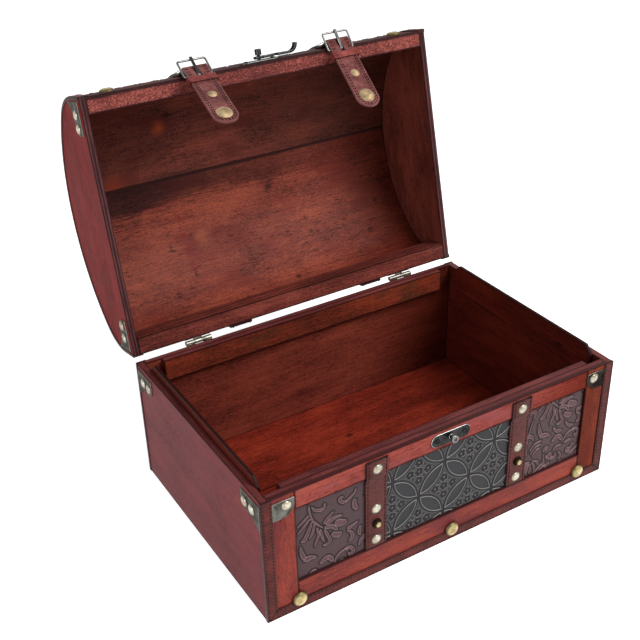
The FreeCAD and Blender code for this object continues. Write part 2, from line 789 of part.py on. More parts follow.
# Lid straps: over the dome from the back edge, then a short ramp out to the tab's fold.
pivot_y, pivot_z = front - d.tab_pivot_out, rim + d.tab_pivot_up
strap_rise = d.lid_strap_thickness - panel_depth
ramp_start = front - (d.lid_strap_thickness / 2 - panel_depth), rim + d.strap_ramp_top
ramp = ramp_start[0] - pivot_y, ramp_start[1] - pivot_z
ramp_length = (ramp[0] * ramp[0] + ramp[1] * ramp[1]).root()
ramp_y, ramp_z = ramp[0] / ramp_length, ramp[1] / ramp_length
tab_half = d.tab_thickness / 2
stand_off = tab_half + d.tab_gap
ramp_outer = pivot_y - ramp_z * tab_half + ramp_y * stand_off, pivot_z + ramp_y * tab_half + ramp_z * stand_off
ramp_inner = pivot_y + ramp_z * tab_half + ramp_y * stand_off, pivot_z - ramp_y * tab_half + ramp_z * stand_off
outer_face, inner_face = front - strap_rise, face
tail_height = rim + d.lid_strap_tail_gap
lid_strap_outline = (
    [ramp_outer, (outer_face, ramp_outer[1] + (outer_face - ramp_outer[0]) * ramp[1] / ramp[0])]
    + arch(-strap_rise, True) + [(back + strap_rise, tail_height), (back_face, tail_height)]
    + arch(panel_depth, False)
    + [(inner_face, ramp_inner[1] + (inner_face - ramp_inner[0]) * ramp[1] / ramp[0]), ramp_inner])
for (side, sign), middle in zip(SIDES, lid_strap_at):
    pad(piece(f"lid_{side}_strap", "lid"), "YZ",
        (middle - d.lid_strap_width / 2, middle + d.lid_strap_width / 2), lid_strap_outline)

# Strap tabs, drawn hanging straight down over the front: each is cut askew so that its cap
# meets the snap stud, and is folded round the buckle's heel bar.
slope = d.lid_strap_shift / d.tab_cap_reach
tab_reach = pivot_y - tab_half, pivot_y + tab_half
heel_y, heel_z = pivot_y + d.buckle_heel_drop, pivot_z - d.buckle_heel_reach
tab_width_half = d.lid_strap_width / 2
cap_neck = d.tab_thickness + d.cap_boss_length
cap_curve = dome_stud(d.cap_radius, d.cap_height, d.cap_neck_radius, d.tab_thickness)
cap_boss = turned([
    (0, d.cap_recess_depth.value - cap_neck.value),
    (d.cap_recess_radius.value, d.cap_recess_depth.value - cap_neck.value),
    (d.cap_recess_radius.value, -cap_neck.value), (d.cap_boss_radius.value, -cap_neck.value),
    (d.cap_boss_radius.value, -d.tab_thickness.value), (0, -d.tab_thickness.value)])
snap_cap = cap_curve.fuse(cap_boss)
tab_rivet = dome_stud(d.tab_rivet_radius, d.rivet_height, d.rivet_shank_radius, d.tab_thickness)
heel_fold = (heel_y, heel_z), d.heel_fold_radius
heel_bore = (heel_y, heel_z), d.buckle_wire_radius + d.heel_bore_gap


def askew(middle, reach):
    return middle - slope * reach


def strap_tab(body, middle):
    tip = askew(middle, d.tab_round_reach)
    tip_z = pivot_z - d.tab_round_reach
    outline = [
        (middle - tab_width_half, pivot_z),
        (tip - tab_width_half, tip_z, ((tip, tip_z), tab_width_half, True)),
        (tip + tab_width_half, tip_z), (middle + tab_width_half, pivot_z)]
    holes = [((askew(middle, reach), pivot_z - reach), radius) for reach, radius in (
        (d.tab_rivet_reach, d.rivet_shank_radius), (d.tab_cap_reach, d.cap_neck_radius))]
    pad(body, "XZ", tab_reach, outline, holes=holes)
    left, right = middle - tab_width_half, middle + tab_width_half
    pad(body, "YZ", (left, right), circle=((pivot_y, pivot_z), tab_half))
    heel = askew(middle, d.buckle_heel_reach)
    fold_half = tab_width_half - slope * d.buckle_heel_reach
    for reach in ((heel - fold_half, heel - d.slot_half_width), (heel + d.slot_half_width, heel + fold_half)):
        pad(body, "YZ", reach, circle=heel_fold)
    cut(body, "YZ", (left - d.cut_overrun, right + d.cut_overrun), circle=heel_bore)
    slot_y = heel_y + d.heel_fold_radius + d.cut_overrun
    slot = rectangle((heel - d.slot_half_width, heel + d.slot_half_width),
                     (pivot_z - d.slot_end, pivot_z - d.slot_start))
    return cut(body, "XZ", (tab_reach[0] - d.cut_overrun, slot_y), slot)


def strap_loop(body, middle):
    centre = askew(middle, d.loop_reach + d.loop_width / 2)
    inside = tab_width_half + d.loop_side_gap
    top = pivot_z - d.loop_reach
    reach = top - d.loop_width, top
    outside = inside + d.loop_thickness
    pad(body, "XY", reach, rectangle((centre - outside, centre + outside),
                                     (tab_reach[0] - d.loop_thickness, tab_reach[1] + d.loop_thickness)))
    return cut(body, "XY", (reach[0] - d.cut_overrun, reach[1] + d.cut_overrun),
               rectangle((centre - inside, centre + inside), tab_reach))


# Buckles, drawn flat behind the tab and then tipped up about the heel bar.


def wire_frame(body, middle):
    left, right = middle - d.buckle_half_width, middle + d.buckle_half_width
    low, high = heel_z, heel_z + d.buckle_length
    bend = d.buckle_corner_radius
    path = sketch_on(body, "XZ", -heel_y)
    draw(path, [
        (left + bend, low), (right - bend, low, ((right - bend, low + bend), bend, True)),
        (right, low + bend), (right, high - bend, ((right - bend, high - bend), bend, True)),
        (right - bend, high), (left + bend, high, ((left + bend, high - bend), bend, True)),
        (left, high - bend), (left, low + bend, ((left + bend, low + bend), bend, True))])
    section = sketch_on(body, "YZ", left + bend)
    draw_circle(section, (heel_y, heel_z), d.buckle_wire_radius)
    feature = body.newObject("PartDesign::AdditivePipe", f"{body.Name}_wire")
    feature.Profile = section
    feature.Spine = path
    return body


def prong(body, middle):
    reach = middle - d.prong_half_width, middle + d.prong_half_width
    bore = d.buckle_wire_radius + d.heel_bore_gap
    eye = bore + d.prong_eye_thickness
    arm_out = heel_y - d.buckle_wire_radius - d.heel_bore_gap
    arm = span(arm_out - d.prong_thickness, arm_out)
    tip = heel_z + d.buckle_length + d.prong_overhang
    pad(body, "YZ", reach, circle=((heel_y, heel_z), eye))
    pad(body, "YZ", reach, rectangle(arm, (heel_z, tip)))
    return cut(body, "YZ", (reach[0] - d.cut_overrun, reach[1] + d.cut_overrun),
               circle=((heel_y, heel_z), bore))


for (side, sign), middle in zip(SIDES, lid_strap_at):
    heel = askew(middle, d.buckle_heel_reach)
    strap_tab(piece(f"{side}_strap_tab", f"{side}_tab"), middle)
    strap_loop(piece(f"{side}_strap_loop", f"{side}_tab"), middle)
    spots = [(askew(middle, reach), tab_reach[0], pivot_z - reach)
             for reach in (d.tab_rivet_reach, d.tab_cap_reach)]
    shapes(f"{side}_tab_studs", [stood(tab_rivet, spots[0], FRONT), stood(snap_cap, spots[1], FRONT)],
           f"{side}_tab")
    wire_frame(piece(f"{side}_buckle_frame", f"{side}_buckle"), heel)
    prong(piece(f"{side}_buckle_prong", f"{side}_buckle"), heel)

# The pose in the photo: lid open, tabs drooping over its front edge, buckles tipped up.


def turn_about(y, z, degrees):
    return FreeCAD.Placement(FreeCAD.Vector(), FreeCAD.Rotation(FreeCAD.Vector(1, 0, 0), degrees),
                             flat(NOTHING, y, z))


lid_open = turn_about(axis_out, axis_up, -d.lid_open_angle.value)
poses = {"base": FreeCAD.Placement(), "lid": lid_open, "hook": lid_open}
tilt = turn_about(heel_y, heel_z, d.buckle_tilt.value)
for side, droop in (("left", d.left_tab_droop), ("right", d.right_tab_droop)):
    poses[f"{side}_tab"] = lid_open * turn_about(pivot_y, pivot_z, droop.value)
    poses[f"{side}_buckle"] = poses[f"{side}_tab"] * tilt
doc.recompute()
for node, where in nodes.values():
    node.Placement = poses[where]
doc.recompute()

faults = [thing.Label for thing in doc.Objects if {"Invalid", "Error"} & set(thing.State)]
faults += [label for label, (node, where) in nodes.items()
           if node.Shape.isNull() or not node.Shape.isValid() or not node.Shape.Solids]
if faults:
    raise SystemExit("not sound: " + ", ".join(faults))
os.makedirs("parts", exist_ok=True)
for label, (node, where) in nodes.items():
    node.Shape.exportStep(f"parts/{label}.step")
print(len(nodes), "nodes written")
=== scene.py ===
import json
import math

import bmesh
import bpy
import numpy as np
from mathutils import Matrix, Vector


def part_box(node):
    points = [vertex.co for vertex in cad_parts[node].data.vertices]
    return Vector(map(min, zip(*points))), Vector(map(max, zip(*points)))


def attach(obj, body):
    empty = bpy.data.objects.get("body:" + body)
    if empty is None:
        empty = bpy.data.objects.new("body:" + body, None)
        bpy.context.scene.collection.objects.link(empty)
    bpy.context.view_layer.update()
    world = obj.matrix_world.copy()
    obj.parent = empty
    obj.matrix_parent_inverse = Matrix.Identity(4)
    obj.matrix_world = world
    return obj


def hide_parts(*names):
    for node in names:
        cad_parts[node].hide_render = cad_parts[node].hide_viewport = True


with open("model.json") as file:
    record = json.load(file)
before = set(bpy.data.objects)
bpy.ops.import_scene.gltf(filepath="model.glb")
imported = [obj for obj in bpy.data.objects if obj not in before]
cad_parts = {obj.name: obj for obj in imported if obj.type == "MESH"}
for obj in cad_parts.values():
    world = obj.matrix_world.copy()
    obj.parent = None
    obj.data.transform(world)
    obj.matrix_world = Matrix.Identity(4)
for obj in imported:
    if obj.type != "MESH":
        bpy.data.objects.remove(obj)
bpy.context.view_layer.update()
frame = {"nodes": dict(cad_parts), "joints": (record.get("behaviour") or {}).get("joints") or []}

# Boards of the base: a flat bottom, four walls, two battens under the rim and two thin lip strips
# that guide the lid. Planed softwood with eased arrises, butted, glued and pinned, then stained:
# plum on the outside of the ends, dark red inside. The deeper red inside the right end and the
# back wall's darkening towards the right are painted shade.


def stain(red, green, blue):
    """A colour judged in display levels, as the linear colour that a shader takes."""
    levels = [((level / 255 + 0.055) / 1.055) ** 2.4 for level in (red, green, blue)]
    return (*levels, 1.0)


def stains(*colours):
    return [stain(*levels) for levels in colours]


class Tone:
    """One output of a node. A sum or product of tones adds its Math node."""

    def __init__(self, workings, socket):
        self.workings = workings
        self.socket = socket

    def math(self, operation, first, second):
        return self.workings.node("ShaderNodeMath", {"operation": operation}, {0: first, 1: second})

    def __add__(self, other):
        return self.math("ADD", self, other)

    def __sub__(self, other):
        return self.math("SUBTRACT", self, other)

    def __rsub__(self, other):
        return self.math("SUBTRACT", other, self)

    def __mul__(self, other):
        return self.math("MULTIPLY", self, other)

    __radd__ = __add__
    __rmul__ = __mul__


class Workings:
    """A node tree in the making. node() makes any node from its type, settings and sockets."""

    def __init__(self, tree):
        self.tree = tree

    def feed(self, node, sockets):
        for key, value in sockets.items():
            if isinstance(value, Tone):
                self.tree.links.new(value.socket, node.inputs[key])
            else:
                node.inputs[key].default_value = value

    def node(self, kind, settings, sockets, output=0):
        node = self.tree.nodes.new(kind)
        for key, value in settings.items():
            if key != "stops":
                setattr(node, key, value)
                continue
            stops = node.color_ramp.elements
            while len(stops) < len(value):
                stops.new(1.0)
            for stop, (position, colour) in zip(stops, value):
                stop.position = position
                stop.color = colour
        self.feed(node, sockets)
        return Tone(self, node.outputs[output])


class Finish(Workings):
    """A surface finish: wood, leather, thread or metal."""

    def __init__(self, name):
        self.material = bpy.data.materials.new(name)
        self.material.use_nodes = True
        super().__init__(self.material.node_tree)

    def value_mark(self, name):
        return self.node("ShaderNodeAttribute", {"attribute_name": name}, {}, "Fac")

    def vector_mark(self, name):
        return self.node("ShaderNodeAttribute", {"attribute_name": name}, {}, "Vector")

    def spot(self):
        return self.node("ShaderNodeTexCoord", {}, {}, "Object")

    def stretch(self, where, by):
        return self.node("ShaderNodeVectorMath", {"operation": "MULTIPLY"}, {0: where, 1: by})

    def noise(self, where, scale, detail=3.0, rough=0.55):
        return self.node("ShaderNodeTexNoise", {},
                         {"Vector": where, "Scale": scale, "Detail": detail, "Roughness": rough})

    def cells(self, where, scale, feature="F1", output="Distance"):
        return self.node("ShaderNodeTexVoronoi", {"feature": feature},
                         {"Vector": where, "Scale": scale}, output)

    def step(self, value, low, high):
        return self.node("ShaderNodeMapRange", {"interpolation_type": "SMOOTHSTEP"},
                         {"Value": value, "From Min": low, "From Max": high})

    def ramp(self, value, *stops):
        return self.node("ShaderNodeValToRGB", {"stops": stops}, {"Fac": value})

    def mix(self, share, under, over, way="MIX"):
        return self.node("ShaderNodeMix", {"data_type": "RGBA", "blend_type": way},
                         {0: share, 6: under, 7: over}, 2)

    def bump(self, height, depth):
        return self.node("ShaderNodeBump", {}, {"Height": height, "Distance": depth, "Strength": 1.0})

    def done(self, **sockets):
        shader = self.tree.nodes["Principled BSDF"]
        self.feed(shader, {name.replace("_", " "): value for name, value in sockets.items()})
        return self.material


def stained_wood(name, deep, body, warm, rim, gloss=0.45, figured=1.0, glint_specks=None, painted_shade_span=None,
                 tint=None, band=None, spots=(), painted_shade_tint=(0.55, 0.52, 0.46, 1.0), shine=0.08):
    """Softwood whose stain has soaked in along the grain and darkened at the arrises. glint_specks is the
    colour of pale flecks, partly rough grain and partly painted glints; painted_shade_span (from, to) is
    where along x a painted shade darkens the wood towards the right, and painted_shade_tint what it
    then lets through; tint is the colour of its patches, band what the darkening beside the mark "seam"
    lets through, stronger towards -x, and spots are single knots and stains as ((x, z), radius, colour)."""
    deep, body, warm, rim = stains(deep, body, warm, rim)
    wood = Finish(name)
    fibre = wood.vector_mark("fibre")
    edge = wood.value_mark("edge")
    sway = wood.noise(wood.stretch(fibre, (1.0, 3.0, 3.0)), 7.0, 2.0)
    swayed = wood.node("ShaderNodeVectorMath", {"operation": "ADD"}, {
        0: fibre, 1: wood.node("ShaderNodeCombineXYZ", {}, {"Y": sway * 0.014, "Z": sway * 0.01})})
    figure = wood.noise(wood.stretch(swayed, (1.0, 9.0, 9.0)), 11.0, 5.0, 0.62)
    streak = wood.noise(wood.stretch(swayed, (1.0, 22.0, 22.0)), 26.0, 5.0, 0.7)
    fleck = wood.noise(wood.stretch(fibre, (1.0, 7.0, 7.0)), 150.0, 3.0, 0.6)
    blotch = wood.noise(wood.stretch(fibre, (1.0, 1.8, 1.8)), 13.0, 5.0, 0.65)
    fine = wood.noise(wood.stretch(fibre, (1.0, 5.0, 5.0)), 380.0, 2.0, 0.7)
    tone = figure * 0.3 + streak * 0.4 + blotch * 0.5 + (fine - 0.5) * figured * 0.6 - 0.1
    colour = wood.ramp(tone, (0.36, deep), (0.5, body), (0.65, warm))
    open_pore = wood.step(fleck + (blotch - 0.5) * 0.3, 0.43, 0.32)
    colour = wood.mix(open_pore * figured * 0.66, colour, rim)
    colour = wood.mix(wood.step(fleck, 0.60, 0.75) * figured * 0.4, colour, warm)
    if tint:
        patch = wood.noise(wood.stretch(fibre, (1.0, 2.4, 2.4)), 21.0, 4.0, 0.6)
        colour = wood.mix(wood.step(patch, 0.48, 0.66) * 0.6, colour, stain(*tint))
    place_x = wood.node("ShaderNodeSeparateXYZ", {}, {0: wood.spot()}, "X")
    if band:
        ragged = wood.value_mark("seam") + (blotch - 0.5) * 0.04 + (streak - 0.5) * 0.03
        beside = wood.step(ragged, 0.03, 0.015)
        strength = wood.step(place_x, 0.1, -0.1) * 0.6 + 0.35
        colour = wood.mix(beside * strength, colour, band, "MULTIPLY")
    knot = wood.cells(wood.stretch(fibre, (0.8, 1.3, 1.3)), 16.0)
    colour = wood.mix(wood.step(knot, 0.075, 0.02) * figured * 0.75, colour, rim)
    for (spot_x, spot_z), radius, shade in spots:
        near = wood.node("ShaderNodeVectorMath", {"operation": "DISTANCE"},
                         {0: wood.stretch(wood.spot(), (1, 0, 1)), 1: (spot_x, 0, spot_z)}, "Value")
        near = near + (streak + fine - 1.0) * (radius * 3.0)
        colour = wood.mix(wood.step(near, radius, radius * 0.2) * 0.75, colour, stain(*shade))
    # Pale flecks: partly rough grain, partly painted glints.
    if glint_specks:
        glint_grit = wood.noise(wood.stretch(fibre, (1.0, 1.6, 1.6)), 620.0, 2.0, 0.6)
        colour = wood.mix(wood.step(glint_grit + (blotch - 0.5) * 0.5, 0.5, 0.66) * 0.75, colour,
                          stain(*glint_specks))
    # Painted shade: darker towards the right along x.
    if painted_shade_span:
        thick = wood.step(place_x + (blotch - 0.5) * 0.08, *painted_shade_span)
        colour = wood.mix(thick, colour, painted_shade_tint, "MULTIPLY")
    soaked = wood.step(edge + (streak - 0.5) * 0.0016, 0.0017, 0.0003)
    colour = wood.mix(soaked * 0.88, colour, rim)
    return wood.done(
        Base_Color=colour,
        Roughness=gloss + (streak - 0.5) * 0.3 + open_pore * 0.12,
        Normal=wood.bump(streak * 0.5 + fleck * 0.5 - open_pore * 0.4, 0.00012),
        Specular_IOR_Level=shine,
    )


RIM_STAIN = 32, 12, 12
plum_wood = stained_wood("plum_wood", (92, 31, 35), (113, 39, 43), (130, 46, 47),
                         RIM_STAIN, 0.42, 0.4, tint=(97, 34, 41), shine=0.05)
rim_wood = stained_wood("rim_wood", (74, 32, 33), (102, 48, 47), (126, 64, 60),
                        (52, 23, 23), 0.4, 0.6)
dark_red_wood = stained_wood("dark_red_wood", (84, 29, 21), (118, 42, 30),
                             (144, 58, 38), (34, 13, 10))
# Painted shade darkens the back wall towards the right.
back_wall_wood = stained_wood("back_wall_wood", (82, 34, 27), (118, 51, 40),
                              (142, 65, 48), (34, 15, 12), painted_shade_span=(0.04, 0.13),
                              painted_shade_tint=(0.47, 0.38, 0.33, 1.0))
batten_wood = stained_wood("batten_wood", (72, 30, 21), (106, 43, 30), (142, 60, 38),
                           (32, 14, 11), tint=(60, 42, 30))
# A deeper red for end grain and the lip strips, also used as painted shade on the inside of the right end.
deep_red_wood = stained_wood("deep_red_wood", (52, 16, 11), (78, 24, 17),
                             (98, 34, 22), (28, 10, 8))


CREASE = math.radians(38)


def taken(shape, mesh, crease=CREASE):
    """Ends a bmesh as a smooth-shaded mesh, sharp along its creases."""
    shape.to_mesh(mesh)
    shape.free()
    mesh.polygons.foreach_set("use_smooth", np.ones(len(mesh.polygons), bool))
    mesh.set_sharp_from_angle(angle=crease)
    return mesh


def finished(name, shape):
    return taken(shape, bpy.data.meshes.new(name))


def placed(name, content):
    """An object for a mesh, a lamp or a camera, linked to the scene."""
    holder = bpy.data.objects.new(name, content)
    bpy.context.scene.collection.objects.link(holder)
    return holder


def fit(mesh, body, slot, finish, *nodes):
    """Puts a finished mesh on the chest: it moves with a body and stands for CAD nodes."""
    piece = placed(mesh.name, mesh)
    if finish is not None:
        mesh.materials.clear()
        mesh.materials.append(finish)
    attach(piece, body)
    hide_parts(*nodes)
    return piece


def add_finishes(mesh, finishes, numbers):
    """Adds finishes to a mesh, with the number of the finish that each face takes."""
    for finish in finishes:
        mesh.materials.append(finish)
    mesh.polygons.foreach_set("material_index", np.array(numbers, np.int32))


def points_of(mesh):
    places = np.zeros(len(mesh.vertices) * 3, np.float32)
    mesh.vertices.foreach_get("co", places)
    return places.reshape(-1, 3).astype(float)


def turned_points(points, turn):
    return points @ np.array(turn.to_3x3()).T + np.array(turn.translation)


def drawn_box(node, turn):
    """A node's lowest and highest corner in the frame that it was drawn in, before a turn."""
    points = turned_points(points_of(frame["nodes"][node].data), turn.inverted())
    return points.min(0), points.max(0)


def mark(mesh, name, values):
    """Notes a number or a vector at each point of a mesh, for a finish or a pattern to read."""
    kind, field = ("FLOAT", "value") if np.ndim(values) == 1 else ("FLOAT_VECTOR", "vector")
    mesh.attributes.new(name, kind, "POINT").data.foreach_set(
        field, np.ascontiguousarray(values, np.float32).ravel())


boards_cut = []
NEXT_PLANK = np.array((0.83, 0.47, 0.29))


def mark_grain(mesh, edge, fibre):
    """Notes how far each point lies from an arris, and where it lies in the timber. Each board is cut
    from another place in it."""
    boards_cut.append(mesh.name)
    mark(mesh, "edge", edge)
    mark(mesh, "fibre", fibre + NEXT_PLANK * len(boards_cut))


EDGE_REACHES = 0.0015, 0.004, 0.009
EDGE_REACH_SHARE = 0.4


def cuts(low, high):
    """Stations along one side of a board, close together near its arrises."""
    near = [0.0] + [reach for reach in EDGE_REACHES if reach < (high - low) * EDGE_REACH_SHARE]
    return [low + reach for reach in near] + [high - reach for reach in reversed(near)]


SQUARE_TURN = 1.0


def ease_edges(shape, arris, turn=SQUARE_TURN):
    """Rounds each edge of a shape that turns by more than an angle."""
    sharp = [edge for edge in shape.edges
             if len(edge.link_faces) == 2 and edge.calc_face_angle() > turn]
    bmesh.ops.bevel(shape, geom=sharp, offset=arris, segments=2, profile=0.5, affect="EDGES",
                    clamp_overlap=True)


def slice_at(shape, place, way):
    """A cut that leaves a shape whole and gives it points along a plane."""
    bmesh.ops.bisect_plane(shape, geom=shape.verts[:] + shape.edges[:] + shape.faces[:],
                           plane_co=place, plane_no=way)


def planed(low, high, arris):
    """A squared board with its arrises eased, as a grid that is finer at the edges."""
    stations = [cuts(a, b) for a, b in zip(low, high)]
    shape = bmesh.new()
    corners = {}

    def corner(spot):
        if spot not in corners:
            corners[spot] = shape.verts.new([stations[side][at] for side, at in enumerate(spot)])
        return corners[spot]

    for side in range(3):
        one, two = (side + 1) % 3, (side + 2) % 3
        for end in (0, len(stations[side]) - 1):
            for a in range(len(stations[one]) - 1):
                for b in range(len(stations[two]) - 1):
                    ring = []
                    for da, db in ((0, 0), (1, 0), (1, 1), (0, 1)):
                        spot = [0, 0, 0]
                        spot[side], spot[one], spot[two] = end, a + da, b + db
                        ring.append(corner(tuple(spot)))
                    shape.faces.new(ring if end else ring[::-1])
    ease_edges(shape, arris)
    return shape


BOARD_ARRIS, SEAM_HALF, FACING = 0.0006, 0.0015, 0.9


def board(node, body, along, slot, finish, turn=Matrix(), arris=BOARD_ARRIS, faces=(), seams=()):
    """A squared board in a node's place, with its grain along one side. faces gives other finishes
    to the faces that look a way, and seams are lines (side, place) where two widths are joined."""
    low, high = drawn_box(node, turn)
    shape = planed(low, high, arris)
    for side, place in seams:
        way = Vector([float(side == axis) for axis in range(3)])
        for off in (-SEAM_HALF, 0.0, SEAM_HALF):
            slice_at(shape, way * (place + off), way)
    mesh = finished(f"{node}.wood", shape)
    points = points_of(mesh)
    edge = np.sort(np.minimum(points - low, high - points), axis=1)[:, 1]
    for side, place in seams:
        edge = np.minimum(edge, np.abs(points[:, side] - place))
    mark_grain(mesh, edge, np.roll(points, -along, axis=1))
    finishes = [finish]
    numbers = np.zeros(len(mesh.polygons), np.int32)
    for way, other in faces:
        finishes.append(other)
        facing = [face.index for face in mesh.polygons if face.normal.dot(way) > FACING]
        numbers[facing] = len(finishes) - 1
    mesh.transform(turn)
    fit(mesh, body, slot, None, node)
    add_finishes(mesh, finishes, numbers)


UPWARD = Vector((0, 0, 1))
FLOOR_SEAM = 0.021
floor_wood = stained_wood("floor_wood", (84, 26, 18), (118, 37, 25), (148, 54, 35),
                          (34, 12, 9))
board("bottom_board", "base", 0, "dark_red_wood", floor_wood, seams=[(1, FLOOR_SEAM)])
ENDWAYS = Vector((1, 0, 0))
for node, finish in (("front_wall", dark_red_wood), ("back_wall", back_wall_wood),
                     ("front_batten", batten_wood), ("back_batten", batten_wood)):
    board(node, "base", 0, "dark_red_wood", finish,
          faces=[(UPWARD, rim_wood), (ENDWAYS, deep_red_wood), (-ENDWAYS, deep_red_wood)])
# The inside of the right end takes the deeper red wood as painted shade.
for side, inward, lining in (("left", 1, dark_red_wood), ("right", -1, deep_red_wood)):
    board(f"{side}_end_wall", "base", 1, "plum_wood", plum_wood,
          faces=[(ENDWAYS * inward, lining), (UPWARD, rim_wood)])


def smooth_patches(shape, crease):
    """Groups of faces that run into each other without a sharp edge."""
    waiting = set(shape.faces)
    while waiting:
        patch, reached = [], [waiting.pop()]
        while reached:
            face = reached.pop()
            patch.append(face)
            for edge in face.edges:
                if len(edge.link_faces) == 2 and edge.calc_face_angle() < crease:
                    near = [other for other in edge.link_faces if other in waiting]
                    waiting.difference_update(near)
                    reached.extend(near)
        yield patch


SAME_PLACE, FLAT_TURN = 1e-6, math.radians(0.5)


def merged(node, turn=Matrix()):
    """A copy of a CAD piece with its triangles joined, in the frame that it was drawn in."""
    shape = bmesh.new()
    shape.from_mesh(frame["nodes"][node].data)
    bmesh.ops.remove_doubles(shape, verts=shape.verts, dist=SAME_PLACE)
    bmesh.ops.transform(shape, matrix=turn.inverted(), verts=shape.verts)
    return shape


NARROW_SHARE = 2.6


def eased(node, arris, band):
    """A copy of a CAD piece with its sharp edges eased. The mark "arris" is 1 along those edges and
    falls to 0 over a band, so that a finish can show burnish or rubbing there. A face too narrow for
    two bands is all edge."""
    shape = merged(node)
    bmesh.ops.dissolve_limit(shape, angle_limit=FLAT_TURN, verts=shape.verts, edges=shape.edges)
    rubbed = shape.verts.layers.float.new("arris")
    for vert in shape.verts:
        vert[rubbed] = 1.0
    for patch in list(smooth_patches(shape, CREASE)):
        within = set(patch)
        border = {edge for face in patch for edge in face.edges
                  if not all(other in within for other in edge.link_faces)}
        half_round = sum(edge.calc_length() for edge in border) / 2
        if not border or sum(face.calc_area() for face in patch) / half_round < band * NARROW_SHARE:
            continue
        bmesh.ops.inset_region(shape, faces=patch, thickness=band, use_boundary=True,
                               use_even_offset=True)
        for face in patch:
            for vert in face.verts:
                vert[rubbed] = 0.0
    ease_edges(shape, arris, CREASE)
    return shape


def mark_of(mesh, name):
    values = np.zeros(len(mesh.vertices), np.float32)
    mesh.attributes[name].data.foreach_get("value", values)
    return values


LIP_ARRIS, LIP_BAND = 0.0005, 0.0017
for side in ("left", "right"):
    node = f"{side}_lip_strip"
    mesh = finished(f"{node}.wood", eased(node, LIP_ARRIS, LIP_BAND))
    mark_grain(mesh, (1 - mark_of(mesh, "arris")) * LIP_BAND, np.roll(points_of(mesh), -1, axis=1))
    fit(mesh, "base", "dark_red_wood", deep_red_wood, node)

# Front frame: two stiles and two rails of thin red-stained wood, glued on the front wall so that
# they frame the leather panels. Their butt joints show as dark lines. The top rail's lighter, pinker
# wood is a painted sheen that turns to painted shade towards the right, and the right stile's darker
# amber wood is painted shade.

red_wood = stained_wood("red_wood", (104, 42, 39), (136, 58, 50), (166, 73, 53),
                        (40, 14, 13), 0.42, 0.8, tint=(110, 48, 51))
# A lighter, pinker copy of the frame wood: painted sheen, darkened towards the right by painted shade.
top_rail_wood = stained_wood("top_rail_wood", (128, 60, 55), (163, 80, 72), (188, 94, 76),
                             (44, 16, 15), 0.5, 0.8, painted_shade_span=(0.05, 0.13), tint=(148, 82, 84),
                             painted_shade_tint=(0.52, 0.36, 0.27, 1.0), shine=0.01)
# A darker copy of the frame wood for the right stile: painted shade.
amber_wood = stained_wood("amber_wood", (96, 44, 34), (123, 58, 44), (148, 74, 52),
                          (38, 14, 12), 0.5, 0.6, tint=(100, 44, 34), shine=0.01)
FRAME_ARRIS = 0.0004
for node, along, finish in (("front_top_rail", 0, top_rail_wood), ("front_bottom_rail", 0, red_wood),
                            ("front_left_stile", 2, red_wood), ("front_right_stile", 2, amber_wood)):
    board(node, "base", along, "red_wood", finish, arris=FRAME_ARRIS, faces=[(UPWARD, rim_wood)])

# Front panels: three sheets of tooled leather glued in the frame. The outer two carry a leaf scroll,
# brown with reddish raised leaves; the middle one a lattice of overlapping rings, nearly black.


def swell(gap, half):
    """A soft ridge, 1 where the gap is zero."""
    return np.exp(-(gap / half) ** 2)


# Rings stand a side apart. Lines and grooves lie so far in from a ring's edge, or out where it says so.
RING_SIDE = 0.0344
LENS_LINE, LENS_LINE_HALF = 0.0018, 0.00045
LENS_GROOVE, OUTER_LINE_OUT, SOFT_HALF = 0.0006, 0.0007, 0.0005
GAP_OUT, GAP_EASE = 0.0012, 0.0008
LENS_HEIGHT, GAP_HEIGHT = 0.25, 0.44
# Florets and buds, by how far out from the middle of a gap they stand.
FLORET_OUT, FLORET_REACH = 0.0084, 0.0041
TIP_BUD_OUT, SIDE_BUD_OUT, BUD_REACH = 0.0146, 0.0074, 0.0012
PETALS, PETAL_OUT_SHARE, PETAL_SHARE = 5, 0.58, 0.33
PETAL_LINE_OUT, PETAL_LINE_HALF = 0.0005, 0.00035
FLORET_TWIST = 300


